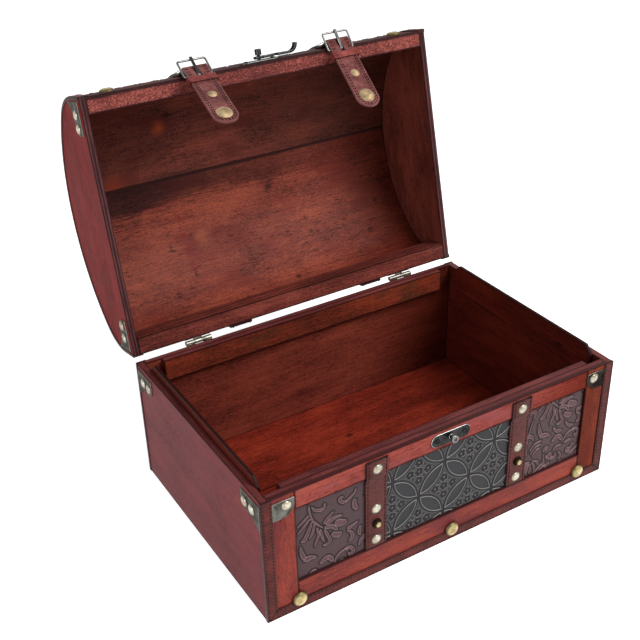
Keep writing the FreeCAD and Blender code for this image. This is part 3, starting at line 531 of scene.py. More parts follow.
def ring_lattice(across, up, line=1.0):
    """Tooling of the middle panel: overlapping rings leave plain pointed petals, each with a raised
    line and a groove round it. The gaps between them hold sunk florets and buds with raised outlines.
    Heights are from 0 to 1, and line makes the lines bolder."""
    diagonal = RING_SIDE * math.sqrt(2)
    a, b = (across + up) / diagonal, (up - across) / diagonal
    a, b = a - np.round(a), b - np.round(b)
    rings = np.stack([np.hypot(a - one, b - two) - math.sqrt(0.5)
                      for one, two in ((0, 0), (1, 0), (-1, 0), (0, 1), (0, -1))]) * RING_SIDE
    depth = np.sort(-rings, axis=0)[-2]
    gap = np.clip((-depth - GAP_OUT) / GAP_EASE, 0, 1)
    height = np.where(depth > LENS_GROOVE, LENS_HEIGHT, GAP_HEIGHT)
    x, z = (a - b) * RING_SIDE / math.sqrt(2), (a + b) * RING_SIDE / math.sqrt(2)
    florets = [(0.0, 0.0, FLORET_REACH)]
    for turn in np.arange(4) * math.pi / 2:
        for out, lean, reach in ((FLORET_OUT, 0, FLORET_REACH), (TIP_BUD_OUT, 0, BUD_REACH),
                                 (SIDE_BUD_OUT, math.pi / 4, BUD_REACH)):
            florets.append((out * math.cos(turn + lean), out * math.sin(turn + lean), reach))
    for middle_x, middle_z, reach in florets:
        radius = np.hypot(x - middle_x, z - middle_z)
        outside = radius - reach
        if reach == FLORET_REACH:
            part = math.tau / PETALS
            lean = (np.arctan2(z - middle_z, x - middle_x) + middle_x * FLORET_TWIST) % part - part / 2
            outside = np.hypot(radius * np.cos(lean) - PETAL_OUT_SHARE * reach, radius * np.sin(lean))
            outside -= PETAL_SHARE * reach
        height = height * (1 - 0.85 * gap * np.clip(0.5 - outside / (SOFT_HALF * line), 0, 1))
        outline = swell(outside - PETAL_LINE_OUT, PETAL_LINE_HALF * line)
        height = np.maximum(height, 0.8 * gap * np.maximum(outline, swell(radius, SOFT_HALF)))
    ridge = np.maximum(swell(depth - LENS_LINE, LENS_LINE_HALF * line),
                       0.6 * swell(depth + OUTER_LINE_OUT, SOFT_HALF * line))
    return np.maximum(height, ridge) * (1 - 0.95 * swell(depth - LENS_GROOVE, SOFT_HALF))


SCROLL_TILE = 69.0, 68.5
# One repeat of the leaf scroll, in millimetres from its lower left corner: each stroke has a half
# width at its start and its end, and the points that its middle line runs through.
SCROLL_STROKES = (
    # stems
    (0.6, 0.6, (12, 64.5), (12.5, 58), (14.5, 50.5), (18.5, 44.5), (23.5, 39)),
    (0.7, 0.5, (32, 0.5), (34.5, 6), (39, 9), (44.5, 9)),
    (0.5, 0.7, (52, 63), (51, 60), (47, 57), (43.5, 55.5)),
    (0.6, 0.5, (62, 2), (60.5, 14), (63, 26), (66.5, 38)),
    # blades of the spray
    (0.9, 0.4, (11.5, 56), (7.5, 53), (3.5, 50.5), (1, 49)),
    (0.9, 0.5, (12.5, 52.5), (8.5, 49), (4.5, 45.5), (1, 43)),
    (0.8, 1.6, (14, 49), (11.5, 43), (8, 36), (4.5, 34.5)),
    (0.8, 0.8, (16, 46.5), (14.5, 39.5), (11.5, 34)),
    (0.9, 0.6, (18, 41.5), (19.5, 35), (17.5, 29.5), (15.5, 24.5)),
    (1.0, 0.6, (21, 38.5), (22, 32), (24, 25.5)),
    (1.0, 1.0, (24.5, 36.5), (27.5, 29), (29, 24.5), (26, 22), (23, 22.5)),
    # flower
    (1.6, 0.5, (25, 43), (28, 46.5), (32.5, 50.5)),
    (1.6, 0.6, (26.5, 41.5), (32, 44), (39.5, 44)),
    (2.9, 1.4, (35.5, 38.5), (39.5, 36.5), (43, 36.5)),
    (1.2, 1.4, (24.5, 38.5), (31, 37), (35.5, 31.5)),
    (1.9, 1.7, (31.5, 29.5), (35, 27), (38.5, 27)),
    # curls
    (0.9, 0.9, (25, 61), (24.5, 57.5), (20.5, 57), (16.5, 59), (14.5, 62.5)),
    (1.0, 1.0, (44.5, 55), (41, 55), (38, 58), (38.5, 60), (41, 60)),
    (1.4, 1.6, (50.5, 53), (50.5, 48), (52.5, 43.5)),
    (1.4, 0.4, (44.5, 28.5), (49, 29.5), (53.5, 31.5)),
    (0.6, 1.6, (44, 26.5), (47.5, 23.5), (48.5, 19), (45.5, 16)),
    (0.8, 1.4, (41.5, 10), (46, 9.5), (49, 5), (46.5, 2), (44.5, 4.5)),
    (1.2, 1.0, (55.5, 25.5), (54.5, 21), (55.5, 17)),
    (1.0, 1.4, (66.5, 38), (68, 43), (64.5, 45), (62.5, 42)),
    # loose leaves
    (0.5, 1.9, (3.5, 30.5), (4.5, 24), (7, 16.5)),
    (2.1, 0.6, (7, 16.5), (12, 16), (17, 14)),
    (0.8, 1.9, (20, 6.5), (23.5, 8.5), (27, 9.5)),
    (1.7, 1.0, (27, 9.5), (29.5, 6), (31, 3.5)),
    (0.6, 1.0, (34.5, -1), (38, 0), (41, 0)),
    (0.8, 1.4, (11, -0.5), (13, 1.5), (16.5, 1.5)),
    (1.6, 0.5, (61, 16), (56, 12), (54, 7)),
    (1.5, 0.5, (61.5, 22), (65.5, 20), (68.5, 15)),
    (1.5, 0.5, (60.5, 54), (63, 59), (61, 64.5)),
)
# What the repeat beside it adds: a fan of blades, a ribbed leaf and more loose leaves.
FAN_STROKES = (
    (0.4, 0.9, (-3, -6), (-7, -5.5), (-10.5, -8)),
    (0.4, 0.9, (-3.5, -7), (-7, -9), (-9.5, -13)),
    (0.4, 0.9, (-3, -7.5), (-5, -12), (-6.5, -17)),
    (0.4, 0.9, (-2, -7.5), (-2, -13), (-2.5, -18)),
    (0.5, 1.0, (-1, -7), (2, -11), (2.5, -16)),
    (0.5, 1.1, (0, -6), (4.5, -8), (7, -12.5)),
    (0.6, 0.6, (-4, 6), (1, 11), (8, 12)),
    (0.5, 0.5, (-3, 2), (2, 7.5), (8, 8.5)),
    (0.5, 0.5, (-1, -1), (3, 4), (7, 5)),
    (0.6, 1.5, (20, 20), (24, 15), (29.5, 14)),
    (0.5, 1.3, (33, 21), (37, 16), (41.5, 14.5)),
    (0.4, 1.0, (22, -4), (26, -1), (31, -2)),
    (0.5, 1.2, (36, -12), (41, -10), (44, -5)),
    (0.5, 1.2, (14, -9), (19, -6), (21, -11)),
    (0.5, 1.0, (28, -8), (31, -12), (29, -16)),
    (0.5, 1.2, (10, -14), (15, -17), (19, -15)),
)


def curve_through(spots, steps):
    """Points on a smooth curve through some spots, with as many steps between each two."""
    spots = np.array([spots[0], *spots, spots[-1]])
    run = []
    for at in range(1, len(spots) - 2):
        before, one, two, after = spots[at - 1:at + 3]
        for share in np.arange(steps) / steps:
            run.append(0.5 * (2 * one + (two - before) * share
                              + (2 * before - 5 * one + 4 * two - after) * share ** 2
                              + (3 * one - before - 3 * two + after) * share ** 3))
    run.append(spots[-1])
    return np.array(run)


def stroke_run(stroke):
    """Even steps along a stroke, as (x, z, half width)."""
    start, end, *spots = stroke
    run = curve_through(spots, 5)
    shares = np.linspace(0, 1, len(run))
    halves = (start + (end - start) * shares) * np.minimum(1, 0.5 + shares * 5)
    halves *= np.minimum(1, 0.3 + (1 - shares) * 3) * (1 + 0.35 * np.sin(np.pi * shares))
    return [(x, z, half) for (x, z), half in zip(run, halves)]


def tile_gap(gap, size):
    """A distance to the nearest repeat."""
    return (gap + size / 2) % size - size / 2


# Sizes of the tooling on a stroke, in millimetres: its edge, its raised rim, its vein, which only a
# broad stroke has, and the groove round it.
EDGE_EASE, RIM_IN, RIM_HALF, VEIN_HALF, BROAD_HALF = 0.4, 0.2, 0.26, 0.3, 1.1
GROOVE_OUT, GROOVE_HALF = 0.7, 0.6
FAR_OFF = 9.0


def leaf_scroll(across, up, line=1.0, strokes=SCROLL_STROKES):
    """Tooling of the outer panels: a spray of blades, a flower and curls, each with a groove round
    it, a raised rim and a vein. Heights from 0 to 1, and line makes the rims bolder."""
    x, z = across * 1000, up * 1000
    raised, groove = np.zeros(x.shape), np.zeros(x.shape)
    for stroke in strokes:
        edge = np.full(x.shape, FAR_OFF)
        vein = np.full(x.shape, FAR_OFF)
        run = stroke_run(stroke)
        for (start_x, start_z, start_half), (end_x, end_z, end_half) in zip(run[:-1], run[1:]):
            gap_x = tile_gap(x - start_x, SCROLL_TILE[0])
            gap_z = tile_gap(z - start_z, SCROLL_TILE[1])
            step_x, step_z = end_x - start_x, end_z - start_z
            share = np.clip((gap_x * step_x + gap_z * step_z) / (step_x ** 2 + step_z ** 2), 0, 1)
            gap = np.hypot(gap_x - share * step_x, gap_z - share * step_z)
            half = start_half + share * (end_half - start_half)
            edge = np.minimum(edge, gap - half)
            vein = np.minimum(vein, gap + FAR_OFF * (half < BROAD_HALF))
        body = np.clip(0.5 - edge / (EDGE_EASE * line), 0, 1)
        body = body * (0.58 + 0.42 * swell(edge + RIM_IN, RIM_HALF * line))
        raised = np.maximum(raised, body * (1 - 0.4 * swell(vein, VEIN_HALF)))
        groove = np.maximum(groove, swell(edge - GROOVE_OUT, GROOVE_HALF))
    tooth = 0.08 * np.sin(x * 4.1 + 2 * np.sin(z * 0.7)) * np.sin(z * 3.7 + np.sin(x * 0.9))
    return np.clip(np.maximum(0.36 + tooth - 0.32 * groove, raised), 0, 1)


def full_scroll(across, up, line=1.0):
    return leaf_scroll(across, up, line, SCROLL_STROKES + FAN_STROKES)


def tooled_leather(name, ground, raised, worn, gloss):
    """Leather dyed darker in the tooling's grooves and rubbed on its raised parts. The near-black deep in
    the grooves is also painted shade, and the pale tone on top of the rims is also a painted highlight.
    """
    ground, raised, worn = stains(ground, raised, worn)
    leather = Finish(name)
    place = leather.spot()
    height = leather.value_mark("tooling")
    mottle = leather.noise(place, 150.0, 5.0, 0.65)
    grain = leather.cells(place, 1300.0)
    # Height sets the colour: near-black in the deepest grooves, dye and painted shade; pale on the highest
    # rims, rubbing and a painted highlight.
    colour = leather.ramp(height + (mottle - 0.5) * 0.26, (0.02, stain(22, 16, 18)), (0.30, ground),
                          (0.60, raised), (0.94, worn))
    return leather.done(
        Base_Color=colour,
        Roughness=gloss + (mottle - 0.5) * 0.3 + (1 - height) * 0.1,
        Normal=leather.bump(grain + mottle * 0.7, 0.00010),
        Specular_IOR_Level=0.2,
    )


scroll_leather = tooled_leather("scroll_leather", (70, 53, 56), (96, 68, 72),
                                (150, 122, 122), 0.46)
ring_leather = tooled_leather("ring_leather", (48, 47, 51), (80, 79, 79),
                              (150, 149, 142), 0.44)


TOOLING_DEPTH = 0.0011
SUNK_SHADED_BORDER, FACE_HEIGHT, LEATHER_CREASE = 0.0016, 0.45, math.radians(60)


def tooled_sheet(name, across, along, lay, pattern, thickness):
    """A closed sheet of leather. lay() places a point from its place across and along the sheet
    and its height over the sheet's plain face."""
    grid_across, grid_along = np.meshgrid(across, along)
    border = np.minimum(np.minimum(grid_across - across[0], across[-1] - grid_across),
                        np.minimum(grid_along - along[0], along[-1] - grid_along))
    # Towards its edges the sheet sinks and, by the finish's height ramp, darkens: a painted shade where it
    # meets its frame.
    height = pattern(grid_across, grid_along) * (0.2 + 0.8 * np.clip(border / SUNK_SHADED_BORDER, 0, 1))
    face = lay(grid_across, grid_along, (height - FACE_HEIGHT) * TOOLING_DEPTH)
    rows, columns = height.shape
    back = [lay(np.full(rows, end), along, np.full(rows, -thickness)) for end in (across[0], across[-1])]
    points = np.concatenate([face.reshape(-1, 3), *back])
    front = np.arange(rows * columns).reshape(rows, columns)
    left, right = rows * columns + np.arange(rows), rows * columns + rows + np.arange(rows)
    faces = np.stack([front[:-1, :-1], front[:-1, 1:], front[1:, 1:], front[1:, :-1]], -1).reshape(-1, 4)
    sides = [np.stack([a[:-1], b[:-1], b[1:], a[1:]], -1)
             for a, b in ((left, front[:, 0]), (front[:, -1], right), (right, left))]
    outline = np.concatenate([faces, *sides]).tolist()
    outline.append([*front[0, ::-1].tolist(), int(left[0]), int(right[0])])
    outline.append([*front[-1].tolist(), int(right[-1]), int(left[-1])])
    mesh = bpy.data.meshes.new(name)
    mesh.from_pydata(points.tolist(), [], outline)
    mark(mesh, "tooling", np.concatenate([height.ravel(), np.zeros(2 * rows)]))
    shape = bmesh.new()
    shape.from_mesh(mesh)
    bmesh.ops.recalc_face_normals(shape, faces=shape.faces)
    return taken(shape, mesh, LEATHER_CREASE)


# Each panel's repeat starts at its own place, in metres.
FRONT_STEP = 0.00032
for node, pattern, finish, slot, start in (
        ("left_scroll_panel", leaf_scroll, scroll_leather, "scroll_leather", (-0.1375, 0.0265)),
        ("centre_ring_panel", ring_lattice, ring_leather, "ring_leather", (-0.0045, 0.0558)),
        ("right_scroll_panel", full_scroll, scroll_leather, "scroll_leather", (0.0870, 0.0465))):
    low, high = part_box(node)

    def lay_front(x, z, out):
        return np.stack([x, low.y - out, z], -1)

    def shifted(x, z):
        return pattern(x - start[0], z - start[1])

    across = np.linspace(low.x, high.x, int((high.x - low.x) / FRONT_STEP))
    along = np.linspace(low.z, high.z, int((high.z - low.z) / FRONT_STEP))
    sheet = tooled_sheet(f"{node}.leather", across, along, lay_front, shifted, high.y - low.y)
    fit(sheet, "base", slot, finish, node)

# Front straps: two plain brown leather straps with a sewn row along each edge. Each hangs from the
# top rail, steps down on to the panels and is held by rivets.


def plain_leather(name, deep, body, pale, gloss=0.45, cut=(30, 17, 17)):
    """Strap leather: fine grain, uneven dye, paler where it is rubbed, and its own tone along cuts."""
    deep, body, pale, cut = stains(deep, body, pale, cut)
    leather = Finish(name)
    place = leather.spot()
    mottle = leather.noise(place, 60.0, 4.0, 0.6)
    rub = leather.noise(place, 240.0, 3.0)
    grain = leather.cells(place, 1100.0)
    tone = mottle * 0.8 + rub * 0.5 - 0.15
    colour = leather.ramp(tone, (0.32, deep), (0.5, body), (0.72, pale))
    burnish = leather.step(leather.value_mark("arris") + (rub - 0.5) * 0.4, 0.35, 0.9)
    colour = leather.mix(burnish * 0.8, colour, cut)
    return leather.done(
        Base_Color=colour,
        Roughness=gloss + (rub - 0.5) * 0.35 - burnish * 0.08,
        Normal=leather.bump(grain + rub * 0.8, 0.00012),
        Specular_IOR_Level=0.1,
    )


strap_leather = plain_leather("strap_leather", (70, 33, 31), (88, 43, 40),
                              (106, 57, 53))
thread = Finish("thread")
twist = thread.noise(thread.spot(), 900.0, 2.0)
thread = thread.done(
    Base_Color=thread.ramp(twist, (0.35, stain(18, 10, 10)), (0.65, stain(40, 24, 23))),
    Roughness=0.75 + (twist - 0.5) * 0.2,
    Normal=thread.bump(twist, 0.0001),
    Specular_IOR_Level=0.1,
)


def skin(shape, rings):
    """Faces between each ring of points and the next."""
    for one, two in zip(rings[:-1], rings[1:]):
        for at in range(len(one)):
            after = (at + 1) % len(one)
            shape.faces.new((one[at], one[after], two[after], two[at]))


def loft(name, rings, marks):
    """A skin over rings of points, capped at both ends. marks says which points lie on an edge."""
    shape = bmesh.new()
    arris = shape.verts.layers.float.new("arris")
    rows = [[shape.verts.new(point) for point in ring] for ring in rings]
    for number, ring in enumerate(rows):
        for vert, worn in zip(ring, marks):
            vert[arris] = 1.0 if number in (0, 1, len(rows) - 2, len(rows) - 1) else worn
    skin(shape, rows)
    shape.faces.new(rows[0][::-1])
    shape.faces.new(rows[-1])
    bmesh.ops.recalc_face_normals(shape, faces=shape.faces)
    return finished(name, shape)


# A strap's cut across: the share of its half width, and the share of its thickness.
STRAP_SHARES = ((-0.97, 0.0), (-1.0, 0.2), (-1.0, 0.62), (-0.968, 0.9), (-0.90, 1.0), (-0.83, 0.97),
                (-0.78, 0.84), (-0.73, 0.97), (-0.62, 1.03), (-0.3, 1.06), (0.3, 1.06), (0.62, 1.03),
                (0.73, 0.97), (0.78, 0.84), (0.83, 0.97), (0.90, 1.0), (0.968, 0.9), (1.0, 0.62),
                (1.0, 0.2), (0.97, 0.0))
STRAP_EDGES = [max(0.0, (abs(across) - 0.86) / 0.12) for across, out in STRAP_SHARES]
SEAM_SHARE, END_SHARE = 0.78, 0.7


def strap_rings(line, middle, half, thickness):
    """Rings for a strap that lies on a line of (point, outward) in the plane across X."""
    rings = []
    for number, (point, outward) in enumerate(line):
        full = thickness * (END_SHARE if number in (0, len(line) - 1) else 1.0)
        rings.append([(middle + half * across, point[0] + outward[0] * full * out,
                       point[1] + outward[1] * full * out) for across, out in STRAP_SHARES])
    return rings


class Pattern(Workings):
    """A geometry tree that sets copies of something along a guide."""

    KINDS = {"float": "NodeSocketFloat", "int": "NodeSocketInt", "object": "NodeSocketObject",
             "material": "NodeSocketMaterial"}

    def __init__(self, name, **inputs):
        super().__init__(bpy.data.node_groups.new(name, "GeometryNodeTree"))
        face = self.tree.interface
        face.new_socket("Guide", in_out="INPUT", socket_type="NodeSocketGeometry")
        face.new_socket("Copies", in_out="OUTPUT", socket_type="NodeSocketGeometry")
        for label, kind in inputs.items():
            face.new_socket(label, in_out="INPUT", socket_type=self.KINDS[kind])
        self.entry = self.tree.nodes.new("NodeGroupInput")

    def given(self, label):
        return Tone(self, self.entry.outputs[label])

    def outward(self):
        return self.node("GeometryNodeInputNamedAttribute", {"data_type": "FLOAT_VECTOR"},
                         {"Name": "outward"})

    def close(self, copies, finish):
        whole = self.node("GeometryNodeRealizeInstances", {}, {"Geometry": copies})
        smooth = self.node("GeometryNodeSetShadeSmooth", {}, {"Geometry": whole})
        coated = self.node("GeometryNodeSetMaterial", {}, {"Geometry": smooth, "Material": finish})
        self.feed(self.tree.nodes.new("NodeGroupOutput"), {"Copies": coated})

    def run(self, name, guide, **values):
        holder = placed(name, guide)
        setting = holder.modifiers.new("pattern", "NODES")
        setting.node_group = self.tree
        for item in self.tree.interface.items_tree:
            if item.in_out == "INPUT" and item.name in values:
                setting[item.identifier] = values[item.name]
        bpy.context.view_layer.update()
        graph = bpy.context.evaluated_depsgraph_get()
        mesh = bpy.data.meshes.new_from_object(holder.evaluated_get(graph))
        mesh.name = name
        bpy.data.objects.remove(holder)
        return mesh


sewing = Pattern("sewing", Pitch="float", Length="float", Width="float", Height="float",
                 Thread="material")
row = sewing.node("GeometryNodeMeshToCurve", {}, {"Mesh": sewing.given("Guide")})
row = sewing.node("GeometryNodeResampleCurve", {"mode": "LENGTH"},
                  {"Curve": row, "Length": sewing.given("Pitch")})
lie = sewing.node("FunctionNodeAlignRotationToVector", {"axis": "X"},
                  {"Vector": sewing.node("GeometryNodeInputTangent", {}, {})})
lie = sewing.node("FunctionNodeAlignRotationToVector", {"axis": "Z", "pivot_axis": "X"},
                  {"Rotation": lie, "Vector": sewing.outward()})
stitch = sewing.node("GeometryNodeMeshUVSphere", {}, {"Segments": 8, "Rings": 4, "Radius": 0.5})
stitch_size = sewing.node("ShaderNodeCombineXYZ", {}, {
    "X": sewing.given("Length"), "Y": sewing.given("Width"), "Z": sewing.given("Height")})
stitches = sewing.node("GeometryNodeInstanceOnPoints", {}, {
    "Points": row, "Instance": stitch, "Rotation": lie, "Scale": stitch_size})
sewing.close(stitches, sewing.given("Thread"))


def guide(name, rows):
    """A mesh of separate polylines whose points know which way is outward."""
    mesh = bpy.data.meshes.new(name)
    points, edges, outward = [], [], []
    for row in rows:
        edges += [(len(points) + at, len(points) + at + 1) for at in range(len(row) - 1)]
        points += [tuple(point) for point, way in row]
        outward += [tuple(way) for point, way in row]
    mesh.from_pydata(points, edges, [])
    mark(mesh, "outward", np.array(outward))
    return mesh


def sewn(name, body, slot, rows, pitch=0.0032, length=0.0024, width=0.0009, height=0.0008):
    """Rows of stitches as one piece."""
    mesh = sewing.run(name, guide(f"{name}.rows", rows), Pitch=pitch, Length=length, Width=width,
                      Height=height, Thread=thread)
    return fit(mesh, body, slot, None)


STRAP_THICKNESS, STITCH_SHARE = 0.0016, 0.9
STRAP_END_STEPS, STRAP_TOP_REACH, STRAP_FOOT_REACH = (0.0, 0.0006, 0.0018), 0.006, 0.03
STEP_DOWN = 0.0045
rail_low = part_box("front_top_rail")[0]
panel_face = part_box("left_scroll_panel")[0].y
for side in ("left", "right"):
    node = f"{side}_front_strap"
    low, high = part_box(node)
    middle, half = (low.x + high.x) / 2, (high.x - low.x) / 2
    heights = [high.z - reach for reach in (*STRAP_END_STEPS, STRAP_TOP_REACH)]
    heights += [rail_low.z - share * STEP_DOWN for share in (0.0, 0.2, 0.4, 0.6, 0.8, 1.0)]
    heights += [low.z + reach for reach in (STRAP_FOOT_REACH, *STRAP_END_STEPS[::-1])]
    line = []
    for z in heights:
        rise = min(max((z - rail_low.z + STEP_DOWN) / STEP_DOWN, 0.0), 1.0)
        rise = rise * rise * (3 - 2 * rise)
        line.append(((panel_face + (rail_low.y - panel_face) * rise, z), (-1.0, 0.0)))
    rings = strap_rings(line, middle, half, STRAP_THICKNESS)
    fit(loft(f"{node}.leather", rings, STRAP_EDGES), "base", "strap_leather", strap_leather, node)
    rows = []
    for way in (-1, 1):
        seam_x = middle + way * half * SEAM_SHARE
        rows.append([((seam_x, y - STRAP_THICKNESS * STITCH_SHARE, z), (0, -1, 0))
                     for (y, z), outward in line[1:-1]])
    sewn(f"{side}_front_strap.stitches", "base", "strap_leather", rows)

# Leather binding: thin dark strips folded round the front and back edges of the box, mitred where
# they meet at the lower corners and sewn near their edges.

binding_leather = plain_leather("binding_leather", (64, 29, 27), (88, 40, 37),
                                (112, 52, 48), 0.5)


def dressed(node, kind, body, slot, finish, arris, band):
    """A CAD piece with its edges eased and a finish of its own."""
    return fit(finished(f"{node}.{kind}", eased(node, arris, band)), body, slot, finish, node).data


BINDING_ARRIS, BINDING_BAND, ROW_INSET = 0.00035, 0.0013, 0.0016
BINDING_STITCH = {"length": 0.0020, "width": 0.0008, "height": 0.0006}
MITRE_MARGIN, RIM_MARGIN = 0.001, 0.003
for node in ("front_side_bindings", "front_bottom_binding", "back_bindings"):
    dressed(node, "leather", "base", "binding_leather", binding_leather, BINDING_ARRIS, BINDING_BAND)
BINDING_ROWS = ROW_INSET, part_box("front_bottom_binding")[1].z - ROW_INSET
low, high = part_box("back_bindings")
low.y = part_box("front_side_bindings")[0].y
rows = []
for y, outward in ((low.y, (0, -1, 0)), (high.y, (0, 1, 0))):
    for inset in BINDING_ROWS:
        ends = inset + MITRE_MARGIN, high.z - RIM_MARGIN
        for way in (-1, 1):
            rows.append([((way * (high.x - inset), y, z), outward) for z in ends])
        ends = low.x + inset + MITRE_MARGIN, high.x - inset - MITRE_MARGIN
        rows.append([((x, y, inset), outward) for x in ends])
sewn("base_bindings.stitches", "base", "binding_leather", rows, **BINDING_STITCH)

# Rivets, snap studs and dome nails: pressed heads on short shanks, nickel-plated on the straps and
# brackets, aged brass along the bottom, and black with a brass nub where the tabs snap on.


def worn_metal(name, bright, dull, rim_grime_and_shade, rubbed, gloss, edge_on=1.0):
    """Plated metal with cloudy patina and fine scratches, a dark ring round the rims of its heads that is
    soiling and painted shade where a head meets the surface, and a rubbed tone along its edges. edge_on
    is how bright it looks at a glancing angle."""
    bright, dull, rim_grime_and_shade, rubbed = stains(bright, dull, rim_grime_and_shade, rubbed)
    metal = Finish(name)
    place = metal.spot()
    cloud = metal.noise(place, 190.0, 3.0, 0.55)
    scratch = metal.noise(metal.stretch(place, (1.0, 5.0, 11.0)), 300.0, 3.0)
    colour = metal.ramp(cloud * 0.8 + scratch * 0.3 - 0.05, (0.38, dull), (0.62, bright))
    # Dark ring at a head's rim: soiling and painted shade.
    rim_grime_and_shade_mask = metal.step(metal.value_mark("rim") + (cloud - 0.5) * 0.4, 0.66, 0.98)
    colour = metal.mix(rim_grime_and_shade_mask * 0.9, colour, rim_grime_and_shade)
    worn = metal.step(metal.value_mark("arris") + (cloud - 0.5) * 0.5, 0.45, 0.95)
    colour = metal.mix(worn * 0.8, colour, rubbed)
    return metal.done(
        Base_Color=colour,
        Metallic=1.0,
        Roughness=gloss + (0.5 - cloud) * 0.3 + rim_grime_and_shade_mask * 0.2,
        Normal=metal.bump(scratch, 0.00003),
        Specular_Tint=(edge_on, edge_on, edge_on, 1.0),
    )


nickel = worn_metal("nickel", (194, 187, 169), (140, 132, 114), (52, 45, 37),
                    (120, 114, 100), 0.26)
aged_brass = worn_metal("aged_brass", (196, 182, 136), (146, 128, 84), (66, 54, 34),
                        (96, 80, 48), 0.30)
black_metal = worn_metal("black_metal", (56, 52, 48), (34, 31, 30), (18, 16, 16),
                         (60, 54, 50), 0.36, 0.3)


def lathe(name, profile, around=28):
    """A turned head from (radius, height) pairs, its tip last and at height zero."""
    rings = []
    shape = bmesh.new()
    for radius, height in profile[:-1]:
        rings.append([shape.verts.new((radius * math.cos(2 * math.pi * at / around),
                                       radius * math.sin(2 * math.pi * at / around), height))
                      for at in range(around)])
    skin(shape, rings)
    tip = shape.verts.new((0, 0, profile[-1][1]))
    widest = max(radius for radius, height in profile)
    for at in range(around):
        shape.faces.new((rings[-1][at], rings[-1][(at + 1) % around], tip))
    shape.faces.new(rings[0][::-1])
    bmesh.ops.recalc_face_normals(shape, faces=shape.faces)
    mesh = finished(name, shape)
    mark(mesh, "rim", np.hypot(*points_of(mesh)[:, :2].T) / widest)
    return mesh


fastening = Pattern("fastening", Head="object", Metal="material", Seed="int")
stand = fastening.node("FunctionNodeAlignRotationToVector", {"axis": "Z"},
                       {"Vector": fastening.outward()})
spin = fastening.node("FunctionNodeRandomValue", {"data_type": "FLOAT"},
                      {2: 0.0, 3: math.tau, "Seed": fastening.given("Seed")}, 1)
spin = fastening.node("FunctionNodeEulerToRotation", {}, {
    "Euler": fastening.node("ShaderNodeCombineXYZ", {}, {"Z": spin})})
stand = fastening.node("FunctionNodeRotateRotation", {"rotation_space": "LOCAL"},
                       {"Rotation": stand, "Rotate By": spin})
head = fastening.node("GeometryNodeObjectInfo", {}, {"Object": fastening.given("Head")}, "Geometry")
heads = fastening.node("GeometryNodeInstanceOnPoints", {}, {
    "Points": fastening.given("Guide"), "Instance": head, "Rotation": stand})
fastening.close(heads, fastening.given("Metal"))


def seats(node, turn=Matrix()):
    """The tip and outward direction of each fastener in a CAD node of like fasteners."""
    shape = merged(node, turn)
    seen, found = set(), []
    for start in shape.verts:
        if start in seen:
            continue
        seen.add(start)
        waiting, solid = [start], []
        while waiting:
            vert = waiting.pop()
            solid.append(vert.co.copy())
            for edge in vert.link_edges:
                other = edge.other_vert(vert)
                if other not in seen:
                    seen.add(other)
                    waiting.append(other)
        places = np.array(solid)
        low, high = places.min(0), places.max(0)
        size = high - low
        alike = [abs(size[(side + 1) % 3] - size[(side + 2) % 3]) for side in range(3)]
        axis = int(np.argmin(alike))
        middle = (low + high) / 2
        way = 1.0 if middle[axis] > 0 else -1.0
        middle[axis] = high[axis] if way > 0 else low[axis]
        outward = Vector((0, 0, 0))
        outward[axis] = way
        found.append((turn @ Vector(middle), turn.to_3x3() @ outward))
    shape.free()
    return found


HEAD_SEED = 7


def fastened(name, profile, places, body, slot, metal, *nodes):
    """One turned head at each place, as one piece."""
    head = placed(f"{name}.head", lathe(f"{name}.head", profile))
    mesh = fastening.run(name, guide(f"{name}.places", [[place] for place in places]), Head=head,
                         Metal=metal, Seed=HEAD_SEED)
    bpy.data.objects.remove(head)
    return fit(mesh, body, slot, None, *nodes)


def scaled(profile, radius, height):
    return [(radius * across, height * up) for across, up in profile]


DOME_SHARES = ((1.0, -1.0), (1.0, -0.86), (0.97, -0.7), (0.88, -0.44), (0.72, -0.22), (0.5, -0.08),
               (0.25, -0.02), (0.0, 0.0))
# A thin flange round a rivet's dome, which the finish's dark rim tone turns into a ring of soiling and
# painted shade round the head.
FLANGE_SHARES = ((1.24, -1.0), (1.24, -0.9), (1.16, -0.84), (1.0, -0.86))
RIVET_RADIUS, RIVET_HEIGHT = 0.00375, 0.0014
NAIL_RADIUS, NAIL_HEIGHT = 0.00625, 0.003
rivet_shape = scaled(FLANGE_SHARES + DOME_SHARES[2:], RIVET_RADIUS, RIVET_HEIGHT)
fastened("base_rivets.heads", rivet_shape, seats("base_rivets"), "base", "nickel", nickel,
         "base_rivets")
nail_shape = scaled(DOME_SHARES, NAIL_RADIUS, NAIL_HEIGHT)
fastened("base_dome_nails.heads", nail_shape, seats("base_dome_nails"), "base", "aged_brass",
         aged_brass, "base_dome_nails")
# A stud's base ring and its nub, as radius and height in metres.
STUD_RING = [(0.0040, -0.0035), (0.0040, -0.0028), (0.0037, -0.0024), (0.0031, -0.0023),
             (0.0026, -0.0026), (0.0, -0.0026)]
STUD_NUB = [(0.0021, -0.0030), (0.0021, -0.0014), (0.0025, -0.0010), (0.0025, -0.0005),
            (0.0021, -0.0001), (0.0013, 0.0), (0.0011, -0.0004), (0.0, -0.0005)]
stud_places = seats("snap_studs")
fastened("snap_studs.rings", STUD_RING, stud_places, "base", "aged_brass", black_metal, "snap_studs")
fastened("snap_studs.nubs", STUD_NUB, stud_places, "base", "aged_brass", aged_brass)

# Corner brackets: pressed steel plates on the upper corners, round at their far corners, each held
# by rivets. Their plating has dulled. The front of the right one is black metal, a painted shade.

dull_steel = worn_metal("dull_steel", (136, 132, 122), (96, 90, 82), (50, 44, 38),
                        (46, 42, 38), 0.34)
tarnished_steel = worn_metal("tarnished_steel", (106, 106, 99), (60, 58, 53), (36, 32, 30),
                             (132, 132, 124), 0.36, 0.5)
BRACKET_ARRIS, BRACKET_BAND = 0.00022, 0.0008


